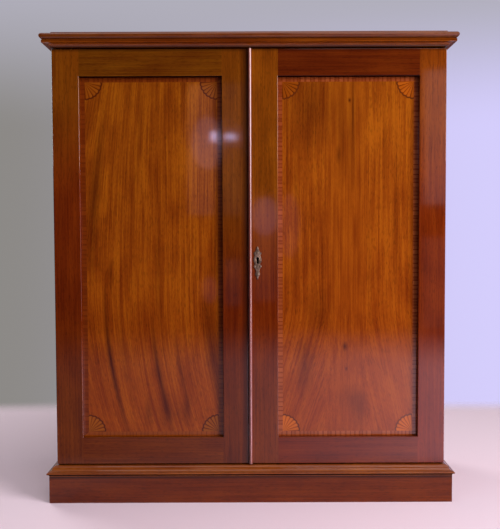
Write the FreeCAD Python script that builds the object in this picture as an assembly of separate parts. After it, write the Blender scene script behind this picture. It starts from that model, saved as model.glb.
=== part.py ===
import FreeCAD, Part

import math
import os

from FreeCAD import Vector

# A free-standing bookcase cabinet in inlaid mahogany: a plinth with a moulded base frame, a dovetailed
# carcass with adjustable shelves, a moulded cornice, and two framed and panelled doors on pivot hinges.
# Millimetres. +X is to the right, +Y to the back, +Z up. The origin is on the floor, mid plan.

# Carcass
carcass_width = 1016.0
carcass_depth = 340.0
carcass_height = 1084.0
board_thickness = 20.0
dovetail_count = 5
dovetail_share = 0.55  # of the pitch, at the root of a tail
dovetail_lap = 6.0  # wood left on the outside of a side
dovetail_slope = 7.0
joint_clearance = 0.1

# Matchboard back, in rebates along the sides
back_thickness = 12.0
back_rebate = 10.0
back_board_count = 8
tongue_thickness = 4.0
tongue_length = 6.0
matchboard_chamfer = 2.0

# Plinth and its moulded base frame
plinth_height = 70.0
plinth_thickness = 20.0
plinth_projection = 17.5
base_height = 25.0
base_lip_projection = 23.5
base_lip_radius = 2.4
base_hollow_height = 5.2  # of the small hollow under the lip
base_fillet = 2.0
frame_bearing = 30.0  # how far the base and cornice frames reach in from the outside of a side
back_rail_depth = 40.0
corner_block = 35.0

# Cornice and top
cornice_height = 34.0
cornice_projection = 25.5
cornice_nosing_radius = 7.5
cornice_quirk = 2.5
cornice_fillet = 6.5
cornice_foot_projection = 1.5
cornice_foot_height = 2.0
hollow_bow = 0.2  # rise of a hollow, as a share of its chord
top_thickness = 7.0
top_overhang = 1.5
top_rounding = 2.5

# Doors
door_thickness = 25.0
door_gap = 1.5  # between a door and the carcass
door_clearance = 3.0  # above and below a door
meeting_edge = -3.5  # left edge of the right door
meeting_gap = 1.5
stile_width = 69.5
meeting_stile_width = 66.0
lock_stile_width = 77.0
rail_width = 70.0
arris_radius = 1.6
panel_thickness = 7.0
panel_recess = 14.0
groove_depth = 8.0
panel_float = 1.5
tenon_length = 45.0
tenon_shoulder = 12.0

# Inlay in the panels
inlay_thickness = 1.0
inlay_gap = 0.05
banding_width = 12.0
fan_radius = 44.0
fan_scallop = 2.0
fan_rays = 6

# Bead along the meeting edge of the right door
bead_width = 9.0
bead_radius = 4.2
bead_base = 3.4
bead_edge = 0.3

# Pivot hinges at the top and bottom of each door
pivot_inset = 6.0  # pin from the outer edge of a door
pivot_plate_end = 2.0  # plate from the outer edge of a door
pivot_plate_length = 56.0
pivot_plate_width = 12.0
pivot_plate_thickness = 2.5
pivot_pin_radius = 3.0
pivot_pin_depth = 12.0  # into a door
pivot_running_clearance = 0.05
pivot_hole_clearance = 0.5  # in the wood
pivot_collar_radius = 5.0

# Lock in the right door
key_height = 637.0
key_backset = 23.5
keyhole_radius = 3.4
keyhole_slot = 5.0
keyhole_drop = 14.0
lock_width = 42.0
lock_height = 64.0
lock_thickness = 12.0
selvedge_thickness = 2.0
lock_bolt_height = 14.0
lock_bolt_thickness = 6.0
lock_bolt_length = 30.0
lock_bolt_rise = 16.0  # bolt above the keyhole
lock_bolt_throw = 10.0
lock_slot_clearance = 0.2
keyhole_depth_in_lock = 8.0

# Escutcheon
escutcheon_height = 88.0
escutcheon_half_width = 10.6
escutcheon_thickness = 2.0
escutcheon_drop = 12.0  # its middle below the keyhole

# Bolts of the left door
bolt_radius = 3.5
bolt_length = 90.0
bolt_throw = 14.0
bolt_running_clearance = 0.08
bolt_hole_clearance = 0.4  # in the keeps and the wood
bolt_stand_off = 9.0  # axis behind the door
bolt_end_gap = 3.0
bolt_plate_height = 74.0
bolt_plate_width = 24.0
bolt_plate_thickness = 2.0
bolt_plate_set = 6.0  # plate below the end of the bolt
bolt_strap_height = 10.0
bolt_strap_width = 15.0
bolt_knob_radius = 3.0
bolt_knob_length = 9.0
keep_thickness = 1.5
keep_length = 34.0
keep_width = 14.0

# Adjustable shelves
shelf_names = ("lower", "middle", "upper")
shelf_thickness = 19.0
shelf_set_back = 22.0  # behind the front of the carcass
shelf_clearance = 1.0
peg_radius = 3.0
peg_pin_length = 10.0
peg_head_radius = 5.0
peg_head_length = 13.0
peg_seat = 2.5  # flat on a peg above its axis
peg_hole_depth = 12.0
peg_hole_clearance = 0.05
peg_hole_pitch = 50.0
peg_hole_margin = 170.0  # from the floor and the ceiling of the inside to the holes
peg_row_inset = 45.0  # from the front and the back of a shelf

# Levels and planes that follow
base_top = plinth_height + base_height
carcass_top_level = base_top + carcass_height
cornice_top = carcass_top_level + cornice_height
floor_level = base_top + board_thickness
ceiling_level = carcass_top_level - board_thickness
half_width = carcass_width / 2
inner_half = half_width - board_thickness
overall_depth = cornice_projection + door_thickness + door_gap + carcass_depth
door_front = cornice_projection - overall_depth / 2
door_back = door_front + door_thickness
carcass_front = door_back + door_gap
carcass_back = carcass_front + carcass_depth
back_face = carcass_back - back_thickness
door_bottom = base_top + door_clearance
door_top = carcass_top_level - door_clearance
panel_front = door_front + panel_recess
panel_back = panel_front + panel_thickness
frame_back = carcass_front + frame_bearing
pivot_x = half_width - pivot_inset
pivot_y = (door_front + door_back) / 2
shelf_front = carcass_front + shelf_set_back
left_door_edge = meeting_edge - meeting_gap
lock_bolt_level = key_height + lock_bolt_rise
bolt_axis_x = left_door_edge - meeting_stile_width / 2
bolt_axis_y = door_back + bolt_stand_off


# Basic shapes

def box(x0, x1, y0, y1, z0, z1):
    low = Vector(min(x0, x1), min(y0, y1), min(z0, z1))
    return Part.makeBox(abs(x1 - x0), abs(y1 - y0), abs(z1 - z0), low)


def rod(radius, start, end):
    return Part.makeCylinder(radius, (end - start).Length, start, end - start)


def face_of(segments, place):
    """A face bounded by segments of two points, which are lines, or three, which are arcs."""
    edges = []
    for segment in segments:
        points = [place(*point) for point in segment]
        curve = Part.LineSegment(*points) if len(points) == 2 else Part.Arc(*points)
        edges.append(curve.toShape())
    return Part.Face(Part.Wire(edges))


def polygon(points):
    return list(zip(points, points[1:] + points[:1]))


def in_plan(level):
    return lambda x, y: Vector(x, y, level)


def plan_prism(points, z0, z1):
    return face_of(polygon(points), in_plan(z0)).extrude(Vector(0, 0, z1 - z0))


def bowed(start, end, rise):
    """An arc from start to end that rises to the left of the chord, or to the right if rise is negative."""
    du, dv = end[0] - start[0], end[1] - start[1]
    chord = math.hypot(du, dv)
    middle = ((start[0] + end[0]) / 2 - rise * dv / chord, (start[1] + end[1]) / 2 + rise * du / chord)
    return (start, middle, end)


def solid(shape):
    return shape.removeSplitter().Solids[0]


def save(node, *shapes):
    solids = [part for shape in shapes for part in shape.Solids]
    shape = solids[0] if len(solids) == 1 else Part.makeCompound(solids)
    shape.exportStep(os.path.join("parts", node + ".step"))
    print(f"{node}: {len(solids)} solids, {sum(part.Volume for part in solids) / 1000:.1f} cm3")


# Plates and pins of the pivot hinges

def pivot_plate(hand, z0, z1, grow):
    outer = half_width - pivot_plate_end
    half = pivot_plate_width / 2 + grow
    x0, x1 = hand * (outer + grow), hand * (outer - pivot_plate_length - grow)
    return box(x0, x1, pivot_y - half, pivot_y + half, z0, z1)


def pivot_recesses(z0, z1):
    return [pivot_plate(hand, z0, z1, joint_clearance) for hand in (-1, 1)]


def pivot_round(hand, z0, z1, radius):
    return rod(radius, Vector(hand * pivot_x, pivot_y, z0), Vector(hand * pivot_x, pivot_y, z1))


# Mouldings: profiles are in u, out from the door front or the outside of a carcass side, and z

def ogee(start, end):
    """A reversed curve that leaves start level, falls, and comes to end level."""
    run, fall = (end[0] - start[0]) / 2, (start[1] - end[1]) / 2
    middle = (start[0] + run, start[1] - fall)
    radius = (run * run + fall * fall) / (2 * fall)
    half_turn = math.asin(run / radius) / 2
    across, drop = radius * math.sin(half_turn), radius * (1 - math.cos(half_turn))
    crown = (start, (start[0] + across, start[1] - drop), middle)
    hollow = (middle, (end[0] - across, end[1] + drop), end)
    return [crown, hollow]


def base_profile(inside):
    lip_u = base_lip_projection - base_lip_radius
    lip_low = plinth_height + base_hollow_height
    lip_high = lip_low + 2 * base_lip_radius
    foot = (plinth_projection, plinth_height)
    under_lip = (lip_u, lip_low)
    over_lip = (lip_u, lip_high)
    step = (lip_u - base_fillet, lip_high)
    ogee_foot = (lip_u - base_fillet, lip_high + base_fillet)
    ogee_head = (base_fillet, base_top)
    rise = hollow_bow * math.dist(foot, under_lip)
    return [
        ((inside, plinth_height), foot),
        bowed(foot, under_lip, rise),
        (under_lip, (base_lip_projection, lip_low + base_lip_radius), over_lip),
        (over_lip, step),
        (step, ogee_foot),
        *[tuple(reversed(arc)) for arc in reversed(ogee(ogee_head, ogee_foot))],
        (ogee_head, (inside, base_top)),
        ((inside, base_top), (inside, plinth_height)),
    ]


def cornice_profile(inside):
    nosing_u = cornice_projection - cornice_nosing_radius
    nosing_low = cornice_top - 2 * cornice_nosing_radius
    nosing_tip = (cornice_projection, cornice_top - cornice_nosing_radius)
    fillet_high = nosing_low - cornice_quirk
    foot_low = (cornice_foot_projection, carcass_top_level)
    foot_high = (cornice_foot_projection, carcass_top_level + cornice_foot_height)
    fillet_low = (nosing_u + cornice_quirk, fillet_high - cornice_fillet)
    hollow_head = (nosing_u, fillet_low[1])
    rise = hollow_bow * math.dist(foot_high, hollow_head)
    return [
        ((inside, carcass_top_level), foot_low),
        (foot_low, foot_high),
        bowed(foot_high, hollow_head, rise),
        (hollow_head, fillet_low),
        (fillet_low, (fillet_low[0], fillet_high)),
        ((fillet_low[0], fillet_high), (nosing_u, fillet_high)),
        ((nosing_u, fillet_high), (nosing_u, nosing_low)),
        ((nosing_u, nosing_low), nosing_tip, (nosing_u, cornice_top)),
        ((nosing_u, cornice_top), (inside, cornice_top)),
        ((inside, cornice_top), (inside, carcass_top_level)),
    ]


def front_plan(reach, inset, back):
    corners = [(half_width + reach, door_front - reach), (half_width - inset, door_front + inset)]
    if back > door_front + inset:
        corners.append((half_width - inset, back))
    return [(-x, y) for x, y in corners] + [(x, y) for x, y in reversed(corners)]


def side_plan(hand, reach, inset):
    outside, inside = hand * (half_width + reach), hand * (half_width - inset)
    return [(outside, door_front - reach), (outside, carcass_back), (inside, carcass_back),
            (inside, door_front + inset)]


def mitred_front(profile, reach, inset, back, z0, z1):
    length = 2 * (half_width + reach)
    face = face_of(profile, lambda u, z: Vector(-half_width - reach, door_front - u, z))
    outline = plan_prism(front_plan(reach, inset, back), z0, z1)
    return solid(face.extrude(Vector(length, 0, 0)).common(outline))


def mitred_side(hand, profile, reach, inset, z0, z1):
    start = door_front - reach
    face = face_of(profile, lambda u, z: Vector(hand * (half_width + u), start, z))
    length = Vector(0, carcass_back - start, 0)
    outline = plan_prism(side_plan(hand, reach, inset), z0, z1)
    return solid(face.extrude(length).common(outline))


def make_plinth():
    inset = plinth_thickness - plinth_projection
    board_back = door_front + inset
    save("plinth_front", plan_prism(front_plan(plinth_projection, inset, board_back), 0, plinth_height))
    save("plinth_left", plan_prism(side_plan(-1, plinth_projection, inset), 0, plinth_height))
    save("plinth_right", plan_prism(side_plan(1, plinth_projection, inset), 0, plinth_height))
    inside = half_width - inset
    back_front = carcass_back - plinth_thickness
    back_board = box(-inside, inside, back_front, carcass_back, 0, plinth_height)
    rail_half = half_width - frame_bearing
    upper_part = box(-rail_half, rail_half, back_front, carcass_back, plinth_height, base_top)
    save("plinth_back", solid(back_board.fuse(upper_part)))
    blocks = []
    for hand in (-1, 1):
        for wall, away in ((board_back, 1), (back_front, -1)):
            corner = hand * inside
            along, across = corner - hand * corner_block, wall + away * corner_block
            blocks.append(plan_prism([(corner, wall), (along, wall), (corner, across)], 0, plinth_height))
    save("plinth_corner_blocks", *blocks)


def make_base_moulding():
    profile = base_profile(door_front - frame_back)
    levels = (plinth_height, base_top)
    recesses = pivot_recesses(base_top - pivot_plate_thickness, base_top)
    front = mitred_front(profile, base_lip_projection, frame_bearing, frame_back, *levels)
    save("base_moulding_front", front.cut(recesses))
    for name, hand in (("left", -1), ("right", 1)):
        piece = mitred_side(hand, profile, base_lip_projection, frame_bearing, *levels)
        save("base_moulding_" + name, piece.cut(recesses))


def make_cornice():
    profile = cornice_profile(door_front - frame_back)
    levels = (carcass_top_level, cornice_top)
    recesses = pivot_recesses(carcass_top_level, carcass_top_level + pivot_plate_thickness)
    moulding = mitred_front(profile, cornice_projection, frame_bearing, frame_back, *levels)
    save("cornice_front", moulding.cut(recesses))
    for name, hand in (("left", -1), ("right", 1)):
        piece = mitred_side(hand, profile, cornice_projection, frame_bearing, *levels)
        save("cornice_" + name, piece.cut(recesses))
    rail_half = half_width - frame_bearing
    rail_front = carcass_back - back_rail_depth
    save("cornice_back_rail", box(-rail_half, rail_half, rail_front, carcass_back, *levels))
    edge = half_width + top_overhang
    front = door_front - top_overhang
    board = box(-edge, edge, front, carcass_back, cornice_top, cornice_top + top_thickness)
    upper = [e for e in board.Edges if e.BoundBox.ZMin > cornice_top + top_thickness / 2
             and e.CenterOfMass.y < carcass_back - top_thickness]
    save("top_board", board.makeFillet(top_rounding, upper))


# Carcass

def dovetails(hand, z0, z1, clearance):
    """The tails at one end of the carcass top or bottom, or with a clearance the sockets for them."""
    pitch = (back_face - carcass_front) / dovetail_count
    length = board_thickness - dovetail_lap + clearance
    root_half = pitch * dovetail_share / 2 + clearance
    tip_half = root_half + length / dovetail_slope
    root, tip = hand * inner_half, hand * (inner_half + length)
    tails = []
    for i in range(dovetail_count):
        y = carcass_front + (i + 0.5) * pitch
        points = [(root, y - root_half), (tip, y - tip_half), (tip, y + tip_half), (root, y + root_half)]
        tails.append(plan_prism(points, z0, z1))
    return tails


def make_end_board(node, z0, z1, holes):
    board = box(-inner_half, inner_half, carcass_front, back_face, z0, z1)
    for hand in (-1, 1):
        board = board.fuse(dovetails(hand, z0, z1, 0))
    for hole in holes:
        board = board.cut(hole)
    save(node, solid(board))


def peg_hole_levels():
    first, last = floor_level + peg_hole_margin, ceiling_level - peg_hole_margin
    count = int((last - first) / peg_hole_pitch) + 1
    return [first + i * peg_hole_pitch for i in range(count)]


def shelf_hole_levels():
    """The hole under each shelf: the one nearest to an even division of the inside."""
    levels = peg_hole_levels()
    count = len(shelf_names)
    bay = (ceiling_level - floor_level) / (count + 1)
    wanted = [floor_level + (i + 1) * bay - shelf_thickness / 2 - peg_seat for i in range(count)]
    return [min(levels, key=lambda level: abs(level - target)) for target in wanted]


def peg_rows():
    return (shelf_front + peg_row_inset, back_face - shelf_clearance - peg_row_inset)


def make_side(node, hand):
    side = box(hand * inner_half, hand * half_width, carcass_front, carcass_back, base_top, carcass_top_level)
    rebate = hand * (inner_half + back_rebate)
    cuts = [box(hand * inner_half, rebate, back_face, carcass_back, base_top, carcass_top_level)]
    cuts += dovetails(hand, base_top, floor_level, joint_clearance)
    cuts += dovetails(hand, ceiling_level, carcass_top_level, joint_clearance)
    for y in peg_rows():
        for z in peg_hole_levels():
            mouth = Vector(hand * inner_half, y, z)
            end = Vector(hand * (inner_half + peg_hole_depth), y, z)
            cuts.append(rod(peg_radius + peg_hole_clearance, mouth, end))
    save(node, solid(side.cut(cuts)))


def make_back():
    left = -inner_half - back_rebate
    width = -2 * left / back_board_count
    middle = (back_face + carcass_back) / 2
    levels = (base_top, carcass_top_level)
    for i in range(back_board_count):
        x0, x1 = left + i * width, left + (i + 1) * width
        points = [(x0 + matchboard_chamfer, back_face), (x1 - matchboard_chamfer, back_face),
                  (x1, back_face + matchboard_chamfer), (x1, carcass_back), (x0, carcass_back),
                  (x0, back_face + matchboard_chamfer)]
        board = plan_prism(points, *levels)
        if i > 0:
            depth, half = tongue_length + joint_clearance, tongue_thickness / 2 + joint_clearance
            board = board.cut(box(x0, x0 + depth, middle - half, middle + half, *levels))
        if i < back_board_count - 1:
            half = tongue_thickness / 2
            board = board.fuse(box(x1, x1 + tongue_length, middle - half, middle + half, *levels))
        save(f"back_board_{i + 1}", solid(board))


def bolt_hole(z0, z1, clearance):
    start, end = Vector(bolt_axis_x, bolt_axis_y, z0), Vector(bolt_axis_x, bolt_axis_y, z1)
    return rod(bolt_radius + clearance, start, end)


def keep_outline(z0, z1, clearance):
    half = keep_length / 2 + clearance
    front = carcass_front
    return box(bolt_axis_x - half, bolt_axis_x + half, front, front + keep_width + clearance, z0, z1)


def make_carcass():
    make_side("left_side", -1)
    make_side("right_side", 1)
    ceiling_keep = (ceiling_level, ceiling_level + keep_thickness)
    floor_keep = (floor_level - keep_thickness, floor_level)
    ceiling_hole = bolt_hole(ceiling_level, ceiling_level + bolt_throw, bolt_hole_clearance)
    floor_hole = bolt_hole(floor_level - bolt_throw, floor_level, bolt_hole_clearance)
    top_cuts = [keep_outline(*ceiling_keep, joint_clearance), ceiling_hole]
    bottom_cuts = [keep_outline(*floor_keep, joint_clearance), floor_hole]
    make_end_board("carcass_top", ceiling_level, carcass_top_level, top_cuts)
    make_end_board("carcass_bottom", base_top, floor_level, bottom_cuts)
    upper_keep = keep_outline(*ceiling_keep, 0).cut(ceiling_hole)
    lower_keep = keep_outline(*floor_keep, 0).cut(floor_hole)
    save("bolt_keeps", lower_keep, upper_keep)
    make_back()


def make_shelves():
    half = inner_half - shelf_clearance
    back = back_face - shelf_clearance
    nose = shelf_thickness / 2
    pegs = []
    for name, hole in zip(shelf_names, shelf_hole_levels()):
        z0 = hole + peg_seat
        z1 = z0 + shelf_thickness
        low, high = (shelf_front + nose, z0), (shelf_front + nose, z1)
        outline = [((back, z0), low), (low, (shelf_front, z0 + nose), high), (high, (back, z1)),
                   ((back, z1), (back, z0))]
        end = face_of(outline, lambda y, z: Vector(-half, y, z))
        save("shelf_" + name, end.extrude(Vector(2 * half, 0, 0)))
        for hand in (-1, 1):
            for y in peg_rows():
                seat = Vector(hand * inner_half, y, hole)
                pin_end = Vector(hand * (inner_half + peg_pin_length), y, hole)
                head_end = Vector(hand * (inner_half - peg_head_length), y, hole)
                radius = peg_head_radius
                over_seat = box(seat.x, head_end.x, y - radius, y + radius, z0, hole + radius)
                head = rod(radius, seat, head_end).cut(over_seat)
                pegs.append(solid(rod(peg_radius, seat, pin_end).fuse(head)))
    save("shelf_pegs", *pegs)


# Doors

class Door:
    """The sizes of one door, from its outer edges and the widths of its two stiles."""

    def __init__(self, left, right, left_stile, right_stile):
        self.left, self.right = left, right
        self.open_left, self.open_right = left + left_stile, right - right_stile
        self.open_bottom, self.open_top = door_bottom + rail_width, door_top - rail_width

    def opening(self, grow, y0, y1):
        """The opening of the frame, grown all round."""
        across = (self.open_left - grow, self.open_right + grow)
        return box(*across, y0, y1, self.open_bottom - grow, self.open_top + grow)

    def shaped_frame(self):
        """Stiles and rails as one blank with eased arrises, before it is parted at the shoulders."""
        blank = box(self.left, self.right, door_front, door_back, door_bottom, door_top)
        frame = blank.cut(self.opening(0, door_front, door_back))
        eased = [e for e in frame.Edges if e.BoundBox.YLength < arris_radius]
        return frame.makeFillet(arris_radius, eased)

    def tenons(self, z0, z1, clearance):
        """The tenons of the rail from z0 to z1, or with a clearance the mortises for them."""
        low, high = z0 + tenon_shoulder - clearance, z1 - tenon_shoulder + clearance
        front, back = panel_front - clearance, panel_back + clearance
        length = tenon_length + clearance
        return [box(self.open_left, self.open_left - length, front, back, low, high),
                box(self.open_right, self.open_right + length, front, back, low, high)]

    def rail_levels(self):
        return {"bottom": (door_bottom, self.open_bottom), "top": (self.open_top, door_top)}

    def stiles(self):
        frame = self.shaped_frame()
        cuts = [self.opening(groove_depth, panel_front - joint_clearance, panel_back + joint_clearance)]
        for levels in self.rail_levels().values():
            cuts += self.tenons(*levels, joint_clearance)
        left = frame.common(box(self.left, self.open_left, door_front, door_back, door_bottom, door_top))
        right = frame.common(box(self.open_right, self.right, door_front, door_back, door_bottom, door_top))
        return solid(left.cut(cuts)), solid(right.cut(cuts))

    def rails(self):
        frame = self.shaped_frame()
        groove = self.opening(groove_depth, panel_front - joint_clearance, panel_back + joint_clearance)
        made = {}
        for name, (z0, z1) in self.rail_levels().items():
            span = box(self.open_left, self.open_right, door_front, door_back, z0, z1)
            rail = frame.common(span).cut(groove)
            made[name] = solid(rail.fuse(self.tenons(z0, z1, 0)))
        return made

    def banding(self, gap):
        """Four mitred strips round the edge of the opening."""
        y0, y1 = panel_front, panel_front + inlay_thickness
        x0, x1, z0, z1 = self.open_left, self.open_right, self.open_bottom, self.open_top
        w = banding_width
        outer = [(x0, z0), (x1, z0), (x1, z1), (x0, z1)]
        inner = [(x0 + w, z0 + w), (x1 - w, z0 + w), (x1 - w, z1 - w), (x0 + w, z1 - w)]
        if gap:
            return [self.opening(gap, y0, y1).cut(self.opening(-w - gap, y0, y1))]
        strips = []
        for i in range(4):
            j = (i + 1) % 4
            face = face_of(polygon([outer[i], outer[j], inner[j], inner[i]]), lambda x, z: Vector(x, y0, z))
            strips.append(face.extrude(Vector(0, inlay_thickness, 0)))
        return strips

    def fans(self, gap):
        """The rays of a quarter fan in each corner inside the banding."""
        rays = []
        turn = math.pi / 2 / fan_rays
        radius = fan_radius + gap
        for cx, across in ((self.open_left + banding_width, 1), (self.open_right - banding_width, -1)):
            for cz, up in ((self.open_bottom + banding_width, 1), (self.open_top - banding_width, -1)):
                def point(length, angle):
                    return (cx + across * length * math.cos(angle), cz + up * length * math.sin(angle))
                for i in range(fan_rays):
                    start, end = point(radius, i * turn), point(radius, (i + 1) * turn)
                    tip = point(radius + fan_scallop, (i + 0.5) * turn)
                    outline = [((cx, cz), start), (start, tip, end), (end, (cx, cz))]
                    face = face_of(outline, lambda x, z: Vector(x, panel_front, z))
                    rays.append(face.extrude(Vector(0, inlay_thickness, 0)))
        return rays

    def panel(self):
        blank = self.opening(groove_depth - panel_float, panel_front, panel_back)
        return solid(blank.cut(self.banding(inlay_gap) + self.fans(inlay_gap)))


left_door = Door(-half_width, left_door_edge, stile_width, meeting_stile_width)
right_door = Door(meeting_edge, half_width, lock_stile_width, stile_width)


def save_door(name, door, left_name, right_name, left_cuts, right_cuts):
    left, right = door.stiles()
    save(f"{name}_door_{left_name}", solid(left.cut(left_cuts)))
    save(f"{name}_door_{right_name}", solid(right.cut(right_cuts)))
    for rail_name, rail in door.rails().items():
        save(f"{name}_door_{rail_name}_rail", rail)
    save(f"{name}_door_panel", door.panel())
    save(f"{name}_door_banding", *door.banding(0))
    save(f"{name}_door_fans", *door.fans(0))


def keyhole(y0, y1):
    """A round eye with a slot below it that ends in a half round."""
    x = meeting_edge + key_backset
    eye = rod(keyhole_radius, Vector(x, y0, key_height), Vector(x, y1, key_height))
    foot_radius = keyhole_slot / 2
    foot_level = key_height - keyhole_drop + foot_radius
    slot = box(x - foot_radius, x + foot_radius, y0, y1, foot_level, key_height)
    foot = rod(foot_radius, Vector(x, y0, foot_level), Vector(x, y1, foot_level))
    return eye.fuse([slot, foot])


def lock_bolt_box(x0, x1, clearance):
    """The space of the lock bolt from x0 to x1, grown by a clearance."""
    middle = door_back - lock_thickness / 2
    half_t, half_h = lock_bolt_thickness / 2 + clearance, lock_bolt_height / 2 + clearance
    return box(x0, x1, middle - half_t, middle + half_t, lock_bolt_level - half_h, lock_bolt_level + half_h)


def lock_outline(grow):
    low, high = key_height - lock_height / 2 - grow, key_height + lock_height / 2 + grow
    front = door_back - lock_thickness - grow
    return box(meeting_edge, meeting_edge + lock_width + grow, front, door_back, low, high)


def keep_plate(grow):
    low, high = lock_bolt_level - keep_length / 2 - grow, lock_bolt_level + keep_length / 2 + grow
    inner = left_door_edge - selvedge_thickness
    return box(inner, left_door_edge, door_back - lock_thickness - grow, door_back, low, high)


def make_doors():
    plate, depth = pivot_plate_thickness, pivot_pin_depth + joint_clearance
    hole_radius = pivot_pin_radius + pivot_hole_clearance
    hinge_cuts = pivot_recesses(door_bottom, door_bottom + plate) + pivot_recesses(door_top - plate, door_top)
    for hand in (-1, 1):
        hinge_cuts.append(pivot_round(hand, door_bottom, door_bottom + depth, hole_radius))
        hinge_cuts.append(pivot_round(hand, door_top - depth, door_top, hole_radius))
    throw_end = meeting_edge - lock_bolt_throw - lock_slot_clearance
    keep_mortise = lock_bolt_box(throw_end, left_door_edge, lock_slot_clearance)
    lock_cuts = [lock_outline(joint_clearance), keyhole(door_front, door_back)]
    keep_cuts = [keep_plate(joint_clearance), keep_mortise]
    save_door("left", left_door, "hinge_stile", "meeting_stile", hinge_cuts, keep_cuts)
    save_door("right", right_door, "lock_stile", "hinge_stile", lock_cuts, hinge_cuts)
    save("lock_keep", keep_plate(0).cut(keep_mortise))
    bead_left, bead_right = meeting_edge, meeting_edge + bead_width
    round_start = (bead_left + bead_edge, door_front - bead_base)
    round_end = (round_start[0] + 2 * bead_radius, round_start[1])
    crown = (round_start[0] + bead_radius, round_start[1] - bead_radius)
    base = door_front - bead_base
    outline = [((bead_left, door_front), (bead_left, base)), ((bead_left, base), round_start),
               (round_start, crown, round_end), (round_end, (bead_right, base)),
               ((bead_right, base), (bead_right, door_front)),
               ((bead_right, door_front), (bead_left, door_front))]
    bead = face_of(outline, in_plan(door_bottom)).extrude(Vector(0, 0, door_top - door_bottom))
    save("meeting_bead", bead)


def make_lock():
    case_front = door_back - lock_thickness
    bolt_back = meeting_edge + selvedge_thickness + lock_bolt_length
    bolt_front = meeting_edge + lock_slot_clearance
    chamber = lock_bolt_box(meeting_edge, bolt_back + lock_slot_clearance, lock_slot_clearance)
    case = lock_outline(0).cut([chamber, keyhole(case_front, case_front + keyhole_depth_in_lock)])
    save("lock_case", solid(case))
    save("lock_bolt", lock_bolt_box(bolt_front, bolt_back, 0))


def make_escutcheon():
    """A cast plate with a pointed finial, two pairs of ears and a waisted drop, the same left and right."""
    top, w = escutcheon_height / 2, escutcheon_half_width
    middle_x, middle_z = meeting_edge + key_backset, key_height - escutcheon_drop
    finial, shoulder = (0, top), (0.36 * w, 0.80 * top)
    upper_ear, upper_neck = (0.97 * w, 0.60 * top), (0.64 * w, 0.46 * top)
    lower_neck, lower_ear = (0.60 * w, -0.08 * top), (0.97 * w, -0.22 * top)
    waist, drop = (0.42 * w, -0.53 * top), (0.44 * w, -0.75 * top)
    half = [
        bowed(finial, shoulder, 0.03 * w),
        bowed(shoulder, upper_ear, -0.14 * w),
        bowed(upper_ear, upper_neck, 0.10 * w),
        bowed(upper_neck, lower_neck, 0.36 * w),
        bowed(lower_neck, lower_ear, 0.10 * w),
        bowed(lower_ear, waist, -0.16 * w),
        bowed(waist, drop, 0.14 * w),
        bowed(drop, (0, -top), -0.08 * w),
    ]
    other = [tuple((-x, z) for x, z in reversed(arc)) for arc in reversed(half)]
    back = door_front
    face = face_of(half + other, lambda x, z: Vector(middle_x + x, back, middle_z + z))
    plate = face.extrude(Vector(0, -escutcheon_thickness, 0))
    save("escutcheon", solid(plate.cut(keyhole(back - escutcheon_thickness, back))))


# Fittings

def make_hinges():
    """Fixed plates with pins in the cornice and the base frame, and plates in the ends of the doors."""
    plate = pivot_plate_thickness
    hole_radius = pivot_pin_radius + pivot_running_clearance
    for name, hand in (("left", -1), ("right", 1)):
        upper_pin = pivot_round(hand, door_top - pivot_pin_depth, carcass_top_level + plate, pivot_pin_radius)
        upper = pivot_plate(hand, carcass_top_level, carcass_top_level + plate, 0).fuse(upper_pin)
        lower_pin = pivot_round(hand, base_top - plate, door_bottom + pivot_pin_depth, pivot_pin_radius)
        collar = pivot_round(hand, base_top, door_bottom, pivot_collar_radius)
        lower = pivot_plate(hand, base_top - plate, base_top, 0).fuse([lower_pin, collar])
        save(f"{name}_fixed_pivots", solid(lower), solid(upper))
        hole = pivot_round(hand, door_bottom, door_top, hole_radius)
        low_plate = pivot_plate(hand, door_bottom, door_bottom + plate, 0)
        high_plate = pivot_plate(hand, door_top - plate, door_top, 0)
        save(f"{name}_door_pivot_plates", low_plate.cut(hole), high_plate.cut(hole))


def door_bolt(end, away):
    """A bolt rod with its knob: end is its free end, away is -1 where the rod runs down from there."""
    foot = end + away * bolt_length
    at = lambda z: Vector(bolt_axis_x, bolt_axis_y, z)
    knob_level = (end + foot) / 2
    knob_end = Vector(bolt_axis_x, bolt_axis_y + bolt_radius + bolt_knob_length, knob_level)
    knob = rod(bolt_knob_radius, at(knob_level), knob_end)
    return solid(rod(bolt_radius, at(min(end, foot)), at(max(end, foot))).fuse(knob))


def bolt_plate(end, away):
    """The plate of a bolt on the back of the stile, with two straps over the rod."""
    start = end + away * bolt_plate_set
    stop = start + away * bolt_plate_height
    half = bolt_plate_width / 2
    back = bolt_axis_y + bolt_radius + bolt_plate_thickness
    left, right = bolt_axis_x - half, bolt_axis_x + half
    plate = box(left, right, door_back, door_back + bolt_plate_thickness, start, stop)
    strap_half = bolt_strap_width / 2
    straps = []
    for z0 in (start, stop - away * bolt_strap_height):
        straps.append(box(bolt_axis_x - strap_half, bolt_axis_x + strap_half, door_back, back,
                          z0, z0 + away * bolt_strap_height))
    bore = bolt_hole(min(start, stop), max(start, stop), bolt_running_clearance)
    return solid(plate.fuse(straps).cut(bore))


def make_bolts():
    top_end, bottom_end = ceiling_level - bolt_end_gap, floor_level + bolt_end_gap
    save("top_bolt", door_bolt(top_end, -1))
    save("bottom_bolt", door_bolt(bottom_end, 1))
    save("bolt_plates", bolt_plate(top_end, -1), bolt_plate(bottom_end, 1))


def main():
    os.makedirs("parts", exist_ok=True)
    make_plinth()
    make_base_moulding()
    make_carcass()
    make_shelves()
    make_cornice()
    make_doors()
    make_lock()
    make_escutcheon()
    make_hinges()
    make_bolts()


main()
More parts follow.
